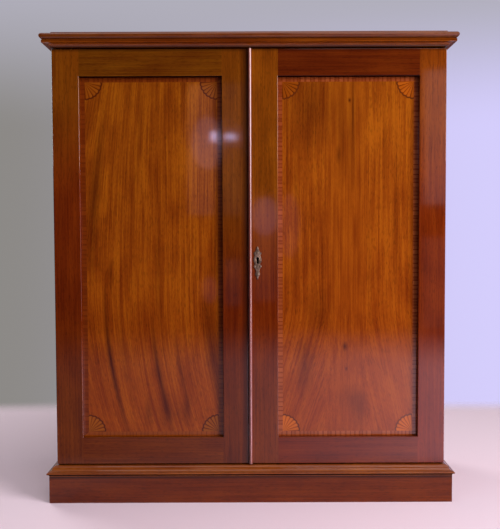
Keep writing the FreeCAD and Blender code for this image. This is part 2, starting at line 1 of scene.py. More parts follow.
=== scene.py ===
# %% [markdown]
# # A bookcase cabinet in inlaid mahogany
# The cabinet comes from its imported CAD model, with every board and fitting at its real size and place.
# This lesson gives the pieces their looks: the camera and the light first, then the polished veneers, and
# then the small work that CAD leaves out, which is the crossbanding, the fans, the cast escutcheon and the screws.
# Lengths are in metres, in the model's own frame: +X to the right, +Y to the back, +Z up, floor at zero.

# %% Load the cabinet
import math

import bmesh
import bpy
from mathutils import Matrix, Vector


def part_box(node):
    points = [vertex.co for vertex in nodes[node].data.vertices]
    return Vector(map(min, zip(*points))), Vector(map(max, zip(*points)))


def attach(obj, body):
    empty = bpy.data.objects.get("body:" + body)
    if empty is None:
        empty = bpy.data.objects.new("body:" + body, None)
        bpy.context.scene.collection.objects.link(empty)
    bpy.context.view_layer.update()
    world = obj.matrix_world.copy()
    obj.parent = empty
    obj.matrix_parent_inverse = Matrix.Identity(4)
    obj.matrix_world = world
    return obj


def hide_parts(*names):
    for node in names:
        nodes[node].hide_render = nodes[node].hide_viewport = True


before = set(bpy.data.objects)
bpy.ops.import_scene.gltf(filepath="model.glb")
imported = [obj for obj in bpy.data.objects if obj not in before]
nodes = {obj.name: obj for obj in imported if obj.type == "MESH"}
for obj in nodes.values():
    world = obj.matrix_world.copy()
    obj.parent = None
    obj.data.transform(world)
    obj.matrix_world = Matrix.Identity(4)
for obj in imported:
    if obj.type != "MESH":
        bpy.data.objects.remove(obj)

scene = bpy.context.scene
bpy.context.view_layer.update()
MM = 0.001

# %% [markdown]
# ## Camera
# The picture was taken from straight in front, a little above the middle of the doors and tilted slightly down.
# A camera could be placed by eye, but here the doors' edges gave the distance and the focal length, so the
# camera is written as those few numbers, and the long side of the picture sets the field of view.

# %% Camera
picture_height = 529  # pixels
focal_pixels = 760
sensor = 36.0
camera_distance = 1.973  # from the fronts of the doors
camera_height = 0.710
camera_aside = 0.0003
tilt, roll = math.radians(2.57), math.radians(-0.21)

door_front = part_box("left_door_hinge_stile")[0].y
camera_data = bpy.data.cameras.new("camera")
camera_data.sensor_width = sensor
camera_data.lens = sensor * focal_pixels / picture_height
camera = bpy.data.objects.new("camera", camera_data)
place = Matrix.Translation((camera_aside, door_front - camera_distance, camera_height))
camera.matrix_world = place @ Matrix.Rotation(math.pi / 2 - tilt, 4, "X") @ Matrix.Rotation(roll, 4, "Z")
scene.collection.objects.link(camera)
scene.camera = camera
scene.view_settings.view_transform = "Standard"
print(f"camera at {camera.matrix_world.translation[:]}, lens {camera_data.lens:.1f} mm")

# %% [markdown]
# ## One helper for nodes
# Every material below is a small network of nodes. Adding a node, setting it and wiring it takes three kinds
# of lines, so one function does all three and gives back the output that the next node needs.
# Colours are written as the hex values of a paint card and turned to the linear light that shaders work in.

# %% Helpers for nodes and colours
MATH, VECTOR_MATH, RANGE = "ShaderNodeMath", "ShaderNodeVectorMath", "ShaderNodeMapRange"
NOISE, MAPPING, COORDINATES = "ShaderNodeTexNoise", "ShaderNodeMapping", "ShaderNodeTexCoord"
SPLIT, JOIN, ATTRIBUTE = "ShaderNodeSeparateXYZ", "ShaderNodeCombineXYZ", "ShaderNodeAttribute"
RAMP, HUE, BUMP = "ShaderNodeValToRGB", "ShaderNodeHueSaturation", "ShaderNodeBump"
SURFACE, OUTPUT = "ShaderNodeBsdfPrincipled", "ShaderNodeOutputMaterial"
# Kinds of node with a setting. A blend of two colours has its inputs at 0, 6 and 7 and its output at 2.
TIMES, PLUS, MINUS, OVER = [(MATH, {"operation": o}) for o in ("MULTIPLY", "ADD", "SUBTRACT", "DIVIDE")]
TIMES_PLUS, POWER, MOST, LEAST = [(MATH, {"operation": o}) for o in ("MULTIPLY_ADD", "POWER", "MAXIMUM", "MINIMUM")]
EASED = (RANGE, {"interpolation_type": "SMOOTHSTEP"})
BLEND = ("ShaderNodeMix", {"data_type": "RGBA"})


def add(tree, kind, inputs=(), out=0, stops=(), **settings):
    """Adds one node, sets it, fills or links its inputs by number or name, and returns one output.

    The stops are the colours of a ramp, evenly spaced."""
    if isinstance(kind, tuple):
        kind, settings = kind[0], kind[1] | settings
    node = tree.nodes.new(kind)
    for name, value in settings.items():
        setattr(node, name, value)
    for key, value in inputs.items() if isinstance(inputs, dict) else enumerate(inputs):
        if isinstance(value, bpy.types.NodeSocket):
            tree.links.new(value, node.inputs[key])
        else:
            node.inputs[key].default_value = value
    while stops and len(node.color_ramp.elements) < len(stops):
        node.color_ramp.elements.new(0.5)
    for i, colour in enumerate(stops):
        node.color_ramp.elements[i].position = i / (len(stops) - 1)
        node.color_ramp.elements[i].color = colour
    return node.outputs[out] if len(node.outputs) else node


def linear(code):
    """A hex colour as linear red, green, blue and alpha."""
    parts = [int(code[i:i + 2], 16) / 255 for i in (1, 3, 5)]
    return tuple(c / 12.92 if c <= 0.04045 else ((c + 0.055) / 1.055) ** 2.4 for c in parts) + (1.0,)


def shades(code, spread):
    """A dark, a middle and a light shade of one wood: the darker, the redder."""
    red, green, blue, alpha = linear(code)
    return [(red * k, green * k ** 1.6, blue * k, alpha) for k in (1 - spread, 1.0, 1 + spread)]


def new_material(name):
    material = bpy.data.materials.new(name)
    material.use_nodes = True
    material.node_tree.nodes.clear()
    return material, material.node_tree


# %% [markdown]
# ## Surroundings
# Polished wood is half colour and half mirror, so what stands round the cabinet matters as much as the lamps.
# An image could surround it, but a few soft bands of colour are enough: a pale backdrop, darker flags at
# both sides, the colour of the floor below, and opposite the doors a dark screen, which keeps their upper part deep
# in colour. Below the screen a bright far floor gives the lower part of the doors its pinkish bloom. The flags and
# the screen are hidden from the camera, and for light that isn't mirrored the whole world is dimmed.

# %% World
world = bpy.data.worlds.new("studio")
scene.world = world
world.use_nodes = True
tree = world.node_tree
tree.nodes.clear()
rays = add(tree, "ShaderNodeLightPath").node.outputs
unseen = add(tree, MINUS, [1.0, rays["Is Camera Ray"]])
axes = add(tree, SPLIT, [add(tree, COORDINATES, out="Generated")]).node.outputs
aside = add(tree, MATH, [axes["X"]], operation="ABSOLUTE")

reach = add(tree, TIMES_PLUS, [axes["X"], 5.0, 0.33])  # the far floor brightens towards the window
sunlit = add(tree, MATH, [reach], operation="EXPONENT")
far_floor = add(tree, VECTOR_MATH, {0: linear("#CAAFC2")[:3], "Scale": sunlit}, operation="SCALE")
low = add(tree, EASED, [axes["Z"], -0.18, -0.125, 1, 0])
screen = add(tree, BLEND, {0: low, 6: linear("#2C2725"), 7: far_floor}, out=2)

across = add(tree, EASED, [axes["X"], -0.32, 0.32, 0, 1])
around = add(tree, BLEND, {0: across, 6: linear("#8C8986"), 7: linear("#D5CEFC")}, out=2)
bands = [  # a direction, where it starts and ends, its share at both, its colour, and whether the camera sees it
    (axes["Z"], 0.12, 0.3, 0, 1, linear("#B0AEBA"), True),  # above
    (aside, 0.4, 0.6, 0, 1, linear("#4A4644"), False),  # flags
    (axes["Z"], -0.25, -0.21, 1, 0, linear("#DCC4D0"), True),  # below
    (axes["Y"], -0.86, -0.62, 1, 0, screen, False),
]
for *span, colour, seen in bands:
    share = add(tree, EASED, span)
    if not seen:
        share = add(tree, TIMES, [share, unseen])
    around = add(tree, BLEND, {0: share, 6: around, 7: colour}, out=2)
mirrored = add(tree, MOST, [rays["Is Camera Ray"], rays["Is Glossy Ray"]])
mirrored = add(tree, MOST, [mirrored, rays["Is Transmission Ray"]])
strength = add(tree, RANGE, [mirrored, 0, 1, 0.25, 1.0])
add(tree, "ShaderNodeOutputWorld", [add(tree, "ShaderNodeBackground", [around, strength])])
print(f"world: a pale backdrop and {len(bands)} bands, two of them hidden from the camera")

# %% [markdown]
# ## Floor
# A plain pale floor carries the cabinet's shadow. An endless plane would end in a hard line, so this is a sheet
# that turns clear towards its edges, where the world goes on in nearly the same colour.

# %% Floor
floor_low, floor_high = (-1.4, -0.6), (1.4, 1.0)
floor_fade = 0.22
speckle_size = 2.381 * MM  # drawn coarser than real grit, so that it shows

floor_material, tree = new_material("pale_matt_floor")
ground = add(tree, COORDINATES, out="Object")
on_floor = add(tree, SPLIT, [ground]).node.outputs
near = add(tree, MINUS, [on_floor["X"], floor_low[0]])
for axis, side, turn in (("X", floor_high[0], -1.0), ("Y", floor_low[1], 1.0), ("Y", floor_high[1], -1.0)):
    gap = add(tree, TIMES_PLUS, [on_floor[axis], turn, -turn * side])
    near = add(tree, LEAST, [near, gap])
edge = add(tree, EASED, [near, 0, floor_fade, 1, 0])
speckle = add(tree, NOISE, {"Vector": ground, "Scale": 1 / speckle_size, "Detail": 3})
tint = add(tree, BLEND, {0: speckle, 6: linear("#F0DEEE"), 7: linear("#FCEEFC")}, out=2)
matt = add(tree, SURFACE, {"Base Color": tint, "Roughness": 0.9, "Specular IOR Level": 0.1})
clear = add(tree, "ShaderNodeBsdfTransparent")
add(tree, OUTPUT, [add(tree, "ShaderNodeMixShader", [edge, matt, clear])])

floor_mesh = bpy.data.meshes.new("floor")
(west, south), (east, north) = floor_low, floor_high
floor_corners = [(west, south, 0.0), (east, south, 0.0), (east, north, 0.0), (west, north, 0.0)]
floor_mesh.from_pydata(floor_corners, [], [(0, 1, 2, 3)])
floor_mesh.materials.append(floor_material)
floor = bpy.data.objects.new("floor", floor_mesh)
scene.collection.objects.link(floor)
print(f"floor from {floor_low} to {floor_high}, fading out over its last {floor_fade} m")

# %% [markdown]
# ## Lamps
# One tall window and its sill stand far to the right, so their light rakes across the doors, throws the shadow of
# every raised edge to the left and fades towards the left door. A ceiling, a high fill in front and a fill behind
# keep the other sides readable.

# %% Lamps
def softbox(name, at, aim, width, height, watts, colour, spread=180, shape="RECTANGLE"):
    """A soft lamp at a point, turned to face another point, out of the camera's sight."""
    data = bpy.data.lights.new(name, "AREA")
    data.shape = shape
    data.spread = math.radians(spread)
    data.size, data.size_y = width, height
    data.energy = watts
    data.color = linear(colour)[:3]
    lamp = bpy.data.objects.new(name, data)
    lamp.location = at
    lamp.rotation_euler = (Vector(aim) - Vector(at)).to_track_quat("-Z", "Y").to_euler()
    lamp.visible_camera = False
    scene.collection.objects.link(lamp)
    print(f"{name}: {watts} W, {width} by {height} m")


softbox("window", (2.4, -1.9, 1.65), (0.2, door_front, 0.75), 1.7, 1.1, 44, "#FFF3F4", spread=120)
softbox("window_sill", (2.4, -1.9, 0.6), (0.2, door_front, 0.6), 1.7, 0.95, 10, "#FFF0F2", spread=120)
softbox("high_fill", (0.9, -2.9, 2.75), (0.1, door_front, 0.8), 1.3, 0.8, 17, "#FFF3F4")
softbox("ceiling", (0.4, -0.3, 2.6), (0.4, -0.3, 0.0), 2.6, 1.3, 20, "#FFF6F2")
softbox("back_fill", (-2.4, 2.3, 1.9), (0.0, 0.1, 0.6), 1.6, 1.6, 55, "#FFF8F2")

# %% [markdown]
# ## What the polish mirrors
# The bloom on the doors is the mirror image of pale things opposite them. Painting it on would make it stay put
# when the camera moves, so faint cards stand there instead: too weak to light the wood, bright enough to be seen
# in its polish. Two tiny glints with narrow beams give the sharp highlights.

# %% Cards and glints
card_plane = -3.17  # Y of the cards, about 3 m in front of the doors
doors_middle = (0.0, door_front, 0.65)
glint_aim = 0.95  # the level that the glints look at

oblong_cards = {  # X and Z of the middle, width, height and watts
    "panel_card": (-0.317, 1.235, 0.17, 0.85, 0.18), "stile_card": (-0.112, 1.235, 0.13, 0.85, 0.07),
    "side_card": (1.35, 1.313, 0.42, 0.873, 1.3), "low_stile_card": (-0.11, 0.37, 0.10, 0.30, 0.025),
    "low_lock_card": (0.10, 0.46, 0.14, 0.42, 0.05), "low_side_card": (1.25, 0.36, 0.24, 0.60, 0.14),
}
oval_cards = {  # the same, and a colour
    "lock_card": (0.10, 0.80, 0.18, 0.25, 0.13, "#DCC6FF"),
    "panel_edge_card": (0.26, 0.74, 0.13, 0.42, 0.045, "#9A90FF"),
    "low_panel_card": (-0.266, 0.32, 0.10, 0.17, 0.013, "#9A90FF"),
    "panel_halo": (-0.275, 1.28, 0.20, 0.34, 0.18, "#F0D2F4"),
}
glints = {  # the same, and the X that the beam aims at
    "panel_glint": (-0.236, 1.322, 0.045, 0.08, 0.0062, "#D4CCFF", -0.45),
    "stile_glint": (-0.122, 1.318, 0.085, 0.035, 0.0055, "#CFCAFF", -0.35),
}
for name, (x, z, *size) in oblong_cards.items():
    softbox(name, (x, card_plane, z), (0.4 * x, door_front, z), *size, "#F4E6F4")
for name, (x, z, *size) in oval_cards.items():
    softbox(name, (x, card_plane, z), doors_middle, *size, shape="ELLIPSE")
for name, (x, z, *size, aim) in glints.items():
    softbox(name, (x, card_plane, z), (aim, door_front, glint_aim), *size, spread=30, shape="ELLIPSE")

# %% [markdown]
# ## Mahogany under French polish
# Mahogany shows broad ribbons of lighter and darker wood, fine lines, and open pores that read as short dark
# dashes along the grain. An image could carry all that, but it would repeat and it would stretch on the edges.
# Noise that is stretched along the grain is solid, so it runs round every edge of a board as real wood does.
# One node group holds the figure, and each board gives it the direction of its own grain.

# %% The figure of mahogany
figure_sizes = {  # width across the grain and length along it, in millimetres, and noise detail
    "Ribbon": (13, 420, 2),
    "Line": (3.2, 200, 3),
    "Mottle": (60, 110, 1),
    "Fleck": (2.4, 9, 1),
    "Pore": (1.9, 13, 0),  # real pores are a quarter as wide, and would vanish in the picture
}
wander_span = (0.16, 0.55)  # the grain drifts sideways over about this width and length
pore_range = (0.56, 0.72)  # the part of its noise that becomes a pore


def figure_group():
    """Grain space in: X and Y across the grain and Z along it, in metres. Five patterns out, about 0 to 1."""
    group = bpy.data.node_groups.new("mahogany_figure", "ShaderNodeTree")
    group.interface.new_socket("Grain", in_out="INPUT", socket_type="NodeSocketVector")
    group.interface.new_socket("Wander", in_out="INPUT", socket_type="NodeSocketFloat")
    for name in figure_sizes:
        group.interface.new_socket(name, in_out="OUTPUT", socket_type="NodeSocketFloat")
    given = group.nodes.new("NodeGroupInput").outputs
    spread = (1 / wander_span[0], 1 / wander_span[0], 1 / wander_span[1])
    slow = add(group, MAPPING, {"Vector": given["Grain"], "Scale": spread})
    drift = add(group, NOISE, {"Vector": slow, "Scale": 1.0, "Detail": 1.0}, out="Color")
    centred = add(group, VECTOR_MATH, [drift, (0.5, 0.5, 0.5)], operation="SUBTRACT")
    pushed = add(group, VECTOR_MATH, {0: centred, "Scale": given["Wander"]}, operation="SCALE")
    grain = add(group, VECTOR_MATH, [given["Grain"], pushed], operation="ADD")
    patterns = {}
    for name, (across, along, detail) in figure_sizes.items():
        density = (1 / (across * MM), 1 / (across * MM), 1 / (along * MM))
        stretched = add(group, MAPPING, {"Vector": grain, "Scale": density})
        patterns[name] = add(group, NOISE, {"Vector": stretched, "Scale": 1.0, "Detail": detail, "Roughness": 0.62})
    patterns["Pore"] = add(group, RANGE, [patterns["Pore"], *pore_range, 0, 1])
    add(group, "NodeGroupOutput", patterns)
    return group


FIGURE = ("ShaderNodeGroup", {"node_tree": figure_group()})
print("figure group:", ", ".join(figure_sizes))

# %% [markdown]
# ## Finish of a board
# French polish is many thin coats of shellac. It deepens the colour, fills most of each pore and leaves a clear
# skin that mirrors things softly. The wood is the shader's base and the shellac is its coat. The coat has its
# own very shallow waves, because a hand-rubbed surface is never as flat as glass.

# %% Shellac
shellac_ior = 1.43
pore_shade, pore_depth = 0.26, 0.03 * MM
wood_roughness = (0.5, 0.65)  # between the pores and in them
wave_length = 142.86 * MM  # of the shallow waves of the coat
line_relief = 0.012 * MM  # of the grain through the coat


def shellac(tree, colour, pore, gloss, waves, ior=shellac_ior, coat=1.0, line=None):
    """The polished surface over a wood colour: pores, coat, the waves of the coat in metres and its fine lines."""
    dark = add(tree, TIMES, [pore, pore_shade])
    pored = add(tree, BLEND, {0: dark, 6: colour, 7: linear("#240A02")}, out=2)
    rough = add(tree, RANGE, [pore, 0, 1, *wood_roughness])
    depth = add(tree, TIMES, [pore, -pore_depth])
    wood_normal = add(tree, BUMP, {"Height": depth, "Distance": 1.0})
    spot = add(tree, COORDINATES, out="Object")
    swell = add(tree, NOISE, {"Vector": spot, "Scale": 1 / wave_length, "Detail": 1.0})
    height = add(tree, TIMES, [swell, waves])
    if line:
        height = add(tree, TIMES_PLUS, [line, line_relief, height])
    coat_normal = add(tree, BUMP, {"Height": height, "Distance": 1.0})
    surface = add(tree, SURFACE, {
        "Base Color": pored, "Roughness": rough, "Normal": wood_normal, "Specular IOR Level": 0.0,
        "Coat Weight": coat, "Coat Roughness": gloss, "Coat IOR": ior, "Coat Normal": coat_normal})
    add(tree, OUTPUT, [surface])


print(f"shellac: index {shellac_ior}, pores {pore_depth / MM} mm deep")

# %% Polished mahogany
GRAIN_ORDER = {"X": ("Z", "Y", "X"), "Y": ("X", "Z", "Y"), "Z": ("X", "Y", "Z")}
tree_step = Vector((0.731, 0.417, 2.93))  # times its seed, it takes a board to a place in the tree of its own
tone_weights = {"Ribbon": 0.32, "Line": 0.43, "Mottle": 0.25}
tone_range = (0.38, 0.62)  # nearly all of the weighed noise
board_spread = 0.3  # how far a board's light and dark shades lie from its middle one
bleach_run = 0.35  # the height over which daylight's bleaching comes in
foot_run = (0.2, 0.55)  # the levels between which a browner foot ends
under_facing = (-0.5, -0.1)  # the Z of a normal that looks down, and of one that hardly does
bead_shadow_share = 0.62


def wood_tone(tree, figure):
    """Ribbons, lines and mottle weighed together and spread over 0 to 1."""
    total = 0.0
    for name, weight in tone_weights.items():
        total = add(tree, TIMES_PLUS, [figure[name], weight, total])
    return add(tree, RANGE, [total, *tone_range, 0, 1])


def polished_mahogany(name, along, seed, code, gloss=0.06, wander=0.012, gold=None, ior=shellac_ior, coat=1.0,
                      waves=0.06 * MM, painted_under_shade=False, painted_bead_shadow=None, levels=()):
    """French-polished mahogany: a clear, softly mirroring skin over ribboned red-brown wood."""
    material, tree = new_material(name)
    axis = add(tree, SPLIT, [add(tree, COORDINATES, out="Object")]).node.outputs
    grain = add(tree, JOIN, [axis[n] for n in GRAIN_ORDER[along]])
    moved = add(tree, VECTOR_MATH, [grain, tree_step * seed], operation="ADD")
    figure = add(tree, FIGURE, {"Grain": moved, "Wander": wander}).node.outputs
    colour = add(tree, RAMP, [wood_tone(tree, figure)], stops=shades(code, board_spread))
    if gold:  # daylight has bleached the upper ends of the stiles towards gold, and their feet are browner
        start, lift, foot_hue, top_hue = gold
        fade = add(tree, EASED, [axis["Z"], start, start + bleach_run, 0, 1])
        foot = add(tree, EASED, [axis["Z"], *foot_run, foot_hue, 0])
        hue = add(tree, TIMES_PLUS, [fade, top_hue, add(tree, PLUS, [foot, 0.5])])
        value = add(tree, RANGE, [fade, 0, 1, 1.0, lift])
        colour = add(tree, HUE, {"Hue": hue, "Value": value, "Color": colour})
    for level in levels:  # painted light and shade by height: darker in quirks and under overhangs, lighter where light falls
        shade = add(tree, EASED, [axis["Z"], *level])
        colour = add(tree, HUE, {"Value": shade, "Color": colour})
    if painted_under_shade:  # painted shade: faces that look down are made nearly black and lose their coat
        facing = add(tree, SPLIT, [add(tree, "ShaderNodeNewGeometry", out="Normal")]).node.outputs["Z"]
        under = add(tree, RANGE, [facing, *under_facing, 1, 0])
        colour = add(tree, BLEND, {0: under, 6: colour, 7: linear("#1C0803")}, out=2)
        coat = add(tree, RANGE, [under, 0, 1, coat, 0.0])
    if painted_bead_shadow:  # painted shadow of the meeting bead on the stile beside it, darkest next to the bead
        bead_shade_mask = add(tree, EASED, [axis["X"], *painted_bead_shadow, 0, bead_shadow_share])
        colour = add(tree, BLEND, {0: bead_shade_mask, 6: colour, 7: linear("#280C04")}, out=2)
    shellac(tree, colour, figure["Pore"], gloss, waves, ior, coat, figure["Line"] if waves else None)
    return material


def finish(material, *names):
    for name in names:
        nodes[name].data.materials.clear()
        nodes[name].data.materials.append(material)


# %% [markdown]
# ## The boards of the frame and the carcass
# No two boards come from the same place in a tree, so each piece of the door frames has a seed and a shade of
# its own: that is how the eye finds the joints between stiles and rails, which lie dead flush. The mouldings and
# the carcass share a finish where they were cut from one length of wood.

# %% Boards
frame_boards = {
    "left_door_hinge_stile": ("Z", "#652305"), "left_door_meeting_stile": ("Z", "#5F1F05"),
    "left_door_top_rail": ("X", "#663606"), "left_door_bottom_rail": ("X", "#622802"),
    "right_door_lock_stile": ("Z", "#652205"), "right_door_hinge_stile": ("Z", "#6C2606"),
    "right_door_top_rail": ("X", "#561E05"), "right_door_bottom_rail": ("X", "#652102"),
}
bleached = {  # where bleaching starts, how bright it is at the top, and the shifts of hue at the foot and the top
    "left_door_hinge_stile": (0.76, 1.42, 0.010, 0.022), "left_door_meeting_stile": (0.5, 1.22, 0.008, 0.022),
    "right_door_lock_stile": (0.52, 1.5, 0.007, 0.022), "right_door_hinge_stile": (0.72, 1.22, -0.004, 0.013),
}
bead_shadow_edges = {"left_door_meeting_stile": (-0.027, -0.008)}  # X where the painted shadow of the bead starts and is full
cornice_shadow_band = (1.166, 1.176, 1.0, 0.45)  # painted shadow of the cornice on the tops of the doors: two levels, and the shade below and above them
# painted shadow of the base moulding's lip on the top of the plinth
lip_shadow_band = (0.060, 0.069, 1.0, 0.3)
# painted shade at the foot of the cornice's hollow, painted light at its top, and slight shade on the nosing
cornice_light_and_shade = [(1.181, 1.187, 0.35, 2.1), (1.188, 1.191, 1.0, 0.48), (1.195, 1.199, 1.0, 0.92)]
# painted shade on the rounded front edge of the top board
top_edge_shade = (1.2135, 1.2198, 0.6, 1.0)
other_boards = {  # grain, colour, pieces, and what differs from the usual finish
    "cornice_front": ("X", "#6A3106", ["cornice_front"], {"coat": 0.85, "levels": cornice_light_and_shade}),
    "cornice_side": ("Y", "#6A3106", ["cornice_left", "cornice_right"],
                     {"gloss": 0.3, "coat": 0.25, "levels": cornice_light_and_shade}),
    "base_front": ("X", "#7E3E12", ["base_moulding_front"], {"painted_under_shade": True}),
    "base_side": ("Y", "#7E3E12", ["base_moulding_left", "base_moulding_right"], {"painted_under_shade": True}),
    "plinth_front": ("X", "#642503", ["plinth_front"], {"coat": 0.8, "levels": [lip_shadow_band]}),
    "plinth_side": ("Y", "#642503", ["plinth_left", "plinth_right"], {"coat": 0.8, "levels": [lip_shadow_band]}),
    "carcass_side": ("Z", "#743008", ["left_side", "right_side"], {"wander": 0.05, "coat": 0.6}),
    "shelf": ("X", "#74340C", ["shelf_lower", "shelf_middle", "shelf_upper"], {"gloss": 0.25}),
    "top": ("X", "#74401E", ["top_board"], {"wander": 0.04, "gloss": 0.3, "coat": 0.35, "levels": [top_edge_shade]}),
    "bead": ("Z", "#7A2C14", ["meeting_bead"], {"gloss": 0.3, "ior": 2.2, "waves": 0.0}),
}
for seed, (node, (along, code)) in enumerate(frame_boards.items(), 1):
    finish(polished_mahogany("mahogany_" + node, along, seed, code, gold=bleached.get(node), levels=[cornice_shadow_band],
                             painted_under_shade="top_rail" in node, painted_bead_shadow=bead_shadow_edges.get(node)), node)
for seed, (name, (along, code, pieces, looks)) in enumerate(other_boards.items(), 11):
    finish(polished_mahogany("mahogany_" + name, along, seed, code, **looks), *pieces)
print(f"{len(frame_boards)} frame boards and {len(other_boards)} other mahogany finishes")

# %% [markdown]
# ## The two panels
# Each panel is one sheet of figured veneer, and its drawing is what one remembers of the doors. On the left the
# grain bows and then sweeps down to the right, with dark streaks in it. On the right it opens into an arch above
# two pin knots. The grain is bent first, by a formula for how far a line of grain has moved sideways at each
# height, and the streaks, clouds and knots are then soft ellipses laid in the bent grain or on the face.

# %% Bent grain
left_turn = 0.56  # the level at which the left panel's grain stands upright
left_sweep = 0.4
lean_x, lean_out = (-0.42, -0.22), (0.23, 0.02)  # left and right in the panel, and the bow there
arch_x, arch_top, arch_round, arch_ease = 0.252, 0.52, 0.035, 0.15
arch_span, arch_parting = (-0.04, 0.06), (-0.36, -0.24)  # left and right of the arch, and the parting there
arch_change, change_depth = 0.06, 0.4  # to the right of the arch the figure comes from elsewhere in the tree


def bent_left(tree, x, z):
    """Grain lines that lean out near the top left and sweep to the right below the middle."""
    below = add(tree, MOST, [add(tree, MINUS, [left_turn, z]), 0.0])
    sweep = add(tree, TIMES, [add(tree, POWER, [below, 2.0]), left_sweep])
    over = add(tree, MOST, [add(tree, MINUS, [z, left_turn]), 0.0])
    lean = add(tree, RANGE, [x, *lean_x, *lean_out])
    bow = add(tree, TIMES, [add(tree, POWER, [over, 2.0]), lean])
    return add(tree, MINUS, [x, add(tree, PLUS, [sweep, bow])]), 0.0


def bent_right(tree, x, z):
    """Straight grain that parts round an arch below the middle of the panel, further on the left of it."""
    aside = add(tree, MINUS, [x, arch_x])
    round_top = add(tree, POWER, [add(tree, TIMES_PLUS, [aside, aside, arch_round ** 2]), 0.5])
    below = add(tree, MOST, [add(tree, MINUS, [arch_top, z]), 0.0])
    eased = add(tree, OVER, [add(tree, POWER, [below, 2.0]), add(tree, PLUS, [below, arch_ease])])
    parting = add(tree, EASED, [aside, *arch_span, *arch_parting])
    other_side = add(tree, EASED, [aside, -arch_change, arch_change, 0.0, change_depth])
    return add(tree, TIMES_PLUS, [eased, parting, round_top]), other_side


print(f"left grain turns at {left_turn} m, right grain parts below {arch_top} m")

# %% Streaks, clouds and knots
grain_marks = {  # in bent grain: across, along, half sizes, strength
    "left": [(-0.381, 0.36, 0.010, 0.24, 1.1), (-0.261, 0.33, 0.011, 0.18, 1.0), (-0.203, 0.34, 0.009, 0.14, 0.5),
             (-0.112, 0.38, 0.024, 0.24, 0.8), (-0.417, 0.80, 0.022, 0.26, 0.8), (-0.300, 0.95, 0.010, 0.15, 0.3),
             (-0.240, 0.60, 0.012, 0.24, 0.3), (-0.345, 0.40, 0.014, 0.14, 0.25)],
    "right": [(0.038, 0.97, 0.006, 0.18, 0.4), (0.106, 0.93, 0.006, 0.12, 0.3), (0.07, 0.62, 0.008, 0.24, 0.2),
              (0.135, 0.75, 0.011, 0.28, 0.25)],
}
face_marks = {  # on the face of the panel: X, Z, half sizes, strength
    "left": [(-0.205, 0.225, 0.07, 0.06, 0.25), (-0.269, 0.235, 0.014, 0.055, 0.5),
             (-0.224, 0.235, 0.020, 0.07, 0.35), (-0.168, 0.242, 0.016, 0.055, 0.5),
             (-0.365, 0.60, 0.008, 0.05, 0.5)],
    "right": [(0.158, 1.025, 0.085, 0.14, 0.65), (0.2686, 1.03, 0.0035, 0.11, 0.55),
              (0.260, 1.046, 0.005, 0.008, 0.9), (0.178, 0.498, 0.05, 0.09, 0.4), (0.231, 0.905, 0.009, 0.03, 0.45),
              (0.249, 0.404, 0.009, 0.016, 1.0), (0.253, 0.345, 0.005, 0.007, 0.9), (0.268, 0.268, 0.05, 0.045, 0.35),
              (0.288, 0.236, 0.032, 0.06, 0.45), (0.144, 0.35, 0.03, 0.10, 0.55)],
}
mark_depth = 10.0  # half size through the wood, so large that depth doesn't matter


def marks(tree, vector, spots):
    """Soft dark ellipses, each with a place, half sizes across and along, and a strength, added together."""
    total = 0.0
    for across, along, half_across, half_along, strength in spots:
        unit = add(tree, MAPPING, {"Vector": vector, "Location": (across, 0, along),
                                   "Scale": (half_across, mark_depth, half_along)}, vector_type="TEXTURE")
        spot = add(tree, "ShaderNodeTexGradient", [unit], out="Fac", gradient_type="SPHERICAL")
        total = add(tree, TIMES_PLUS, [spot, strength, total])
    return total


print("marks:", {side: len(grain_marks[side] + face_marks[side]) for side in grain_marks})

# %% Panel veneers
panel_colours = {"left": ("#894109", 0.37), "right": ("#8C410B", 0.33)}
panel_wander, panel_gloss, panel_waves = 0.014, 0.05, 0.2 * MM
fleck_weight = 0.5


def veneer_panel(side, bend, seed):
    """A sheet of figured mahogany veneer under French polish, brighter and smoother than the solid frame."""
    material, tree = new_material(f"mahogany_veneer_{side}")
    spot = add(tree, COORDINATES, out="Object")
    axis = add(tree, SPLIT, [spot]).node.outputs
    across, aside = bend(tree, axis["X"], axis["Z"])
    bent = add(tree, JOIN, [across, 0.0, axis["Z"]])
    grain = add(tree, JOIN, [across, aside, axis["Z"]])
    moved = add(tree, VECTOR_MATH, [grain, tree_step * seed], operation="ADD")
    figure = add(tree, FIGURE, {"Grain": moved, "Wander": panel_wander}).node.outputs
    calm = add(tree, RANGE, [axis["Z"], 0.3, 0.6, 0.8, 1.15])  # the figure is quieter near the foot of a panel
    apart = add(tree, MINUS, [wood_tone(tree, figure), 0.5])
    flecked = add(tree, TIMES_PLUS, [figure["Fleck"], fleck_weight, 0.5 - fleck_weight / 2])
    tone = add(tree, TIMES_PLUS, [apart, calm, flecked])
    colour = add(tree, RAMP, [tone], stops=shades(*panel_colours[side]))
    hue = add(tree, RANGE, [axis["Z"], 0.25, 1.05, 0.495, 0.505])  # redder below, more golden above
    colour = add(tree, HUE, {"Hue": hue, "Color": colour})
    streaks, clouds = marks(tree, bent, grain_marks[side]), marks(tree, spot, face_marks[side])
    dark = add(tree, PLUS, [streaks, clouds], use_clamp=True)
    stained = add(tree, BLEND, {0: dark, 6: colour, 7: linear("#461404")}, out=2)
    shellac(tree, stained, figure["Pore"], panel_gloss, panel_waves, line=figure["Line"])
    return material


finish(veneer_panel("left", bent_left, 21), "left_door_panel")
finish(veneer_panel("right", bent_right, 22), "right_door_panel")
print("panel veneers: left swept, right arched")

# %% [markdown]
# ## Pine
# What is out of sight is pine: the back boards, the carcass top and bottom, the blocks in the plinth and the frame
# rails. A sawn board cuts through the rings of its trunk, so the rings are drawn as circles round a heart that
# tapers along the board, which gives the long arches of plain-sawn wood. Each back board is a plank of its own, so
# its number, counted from its place, moves the heart and shifts the grain.

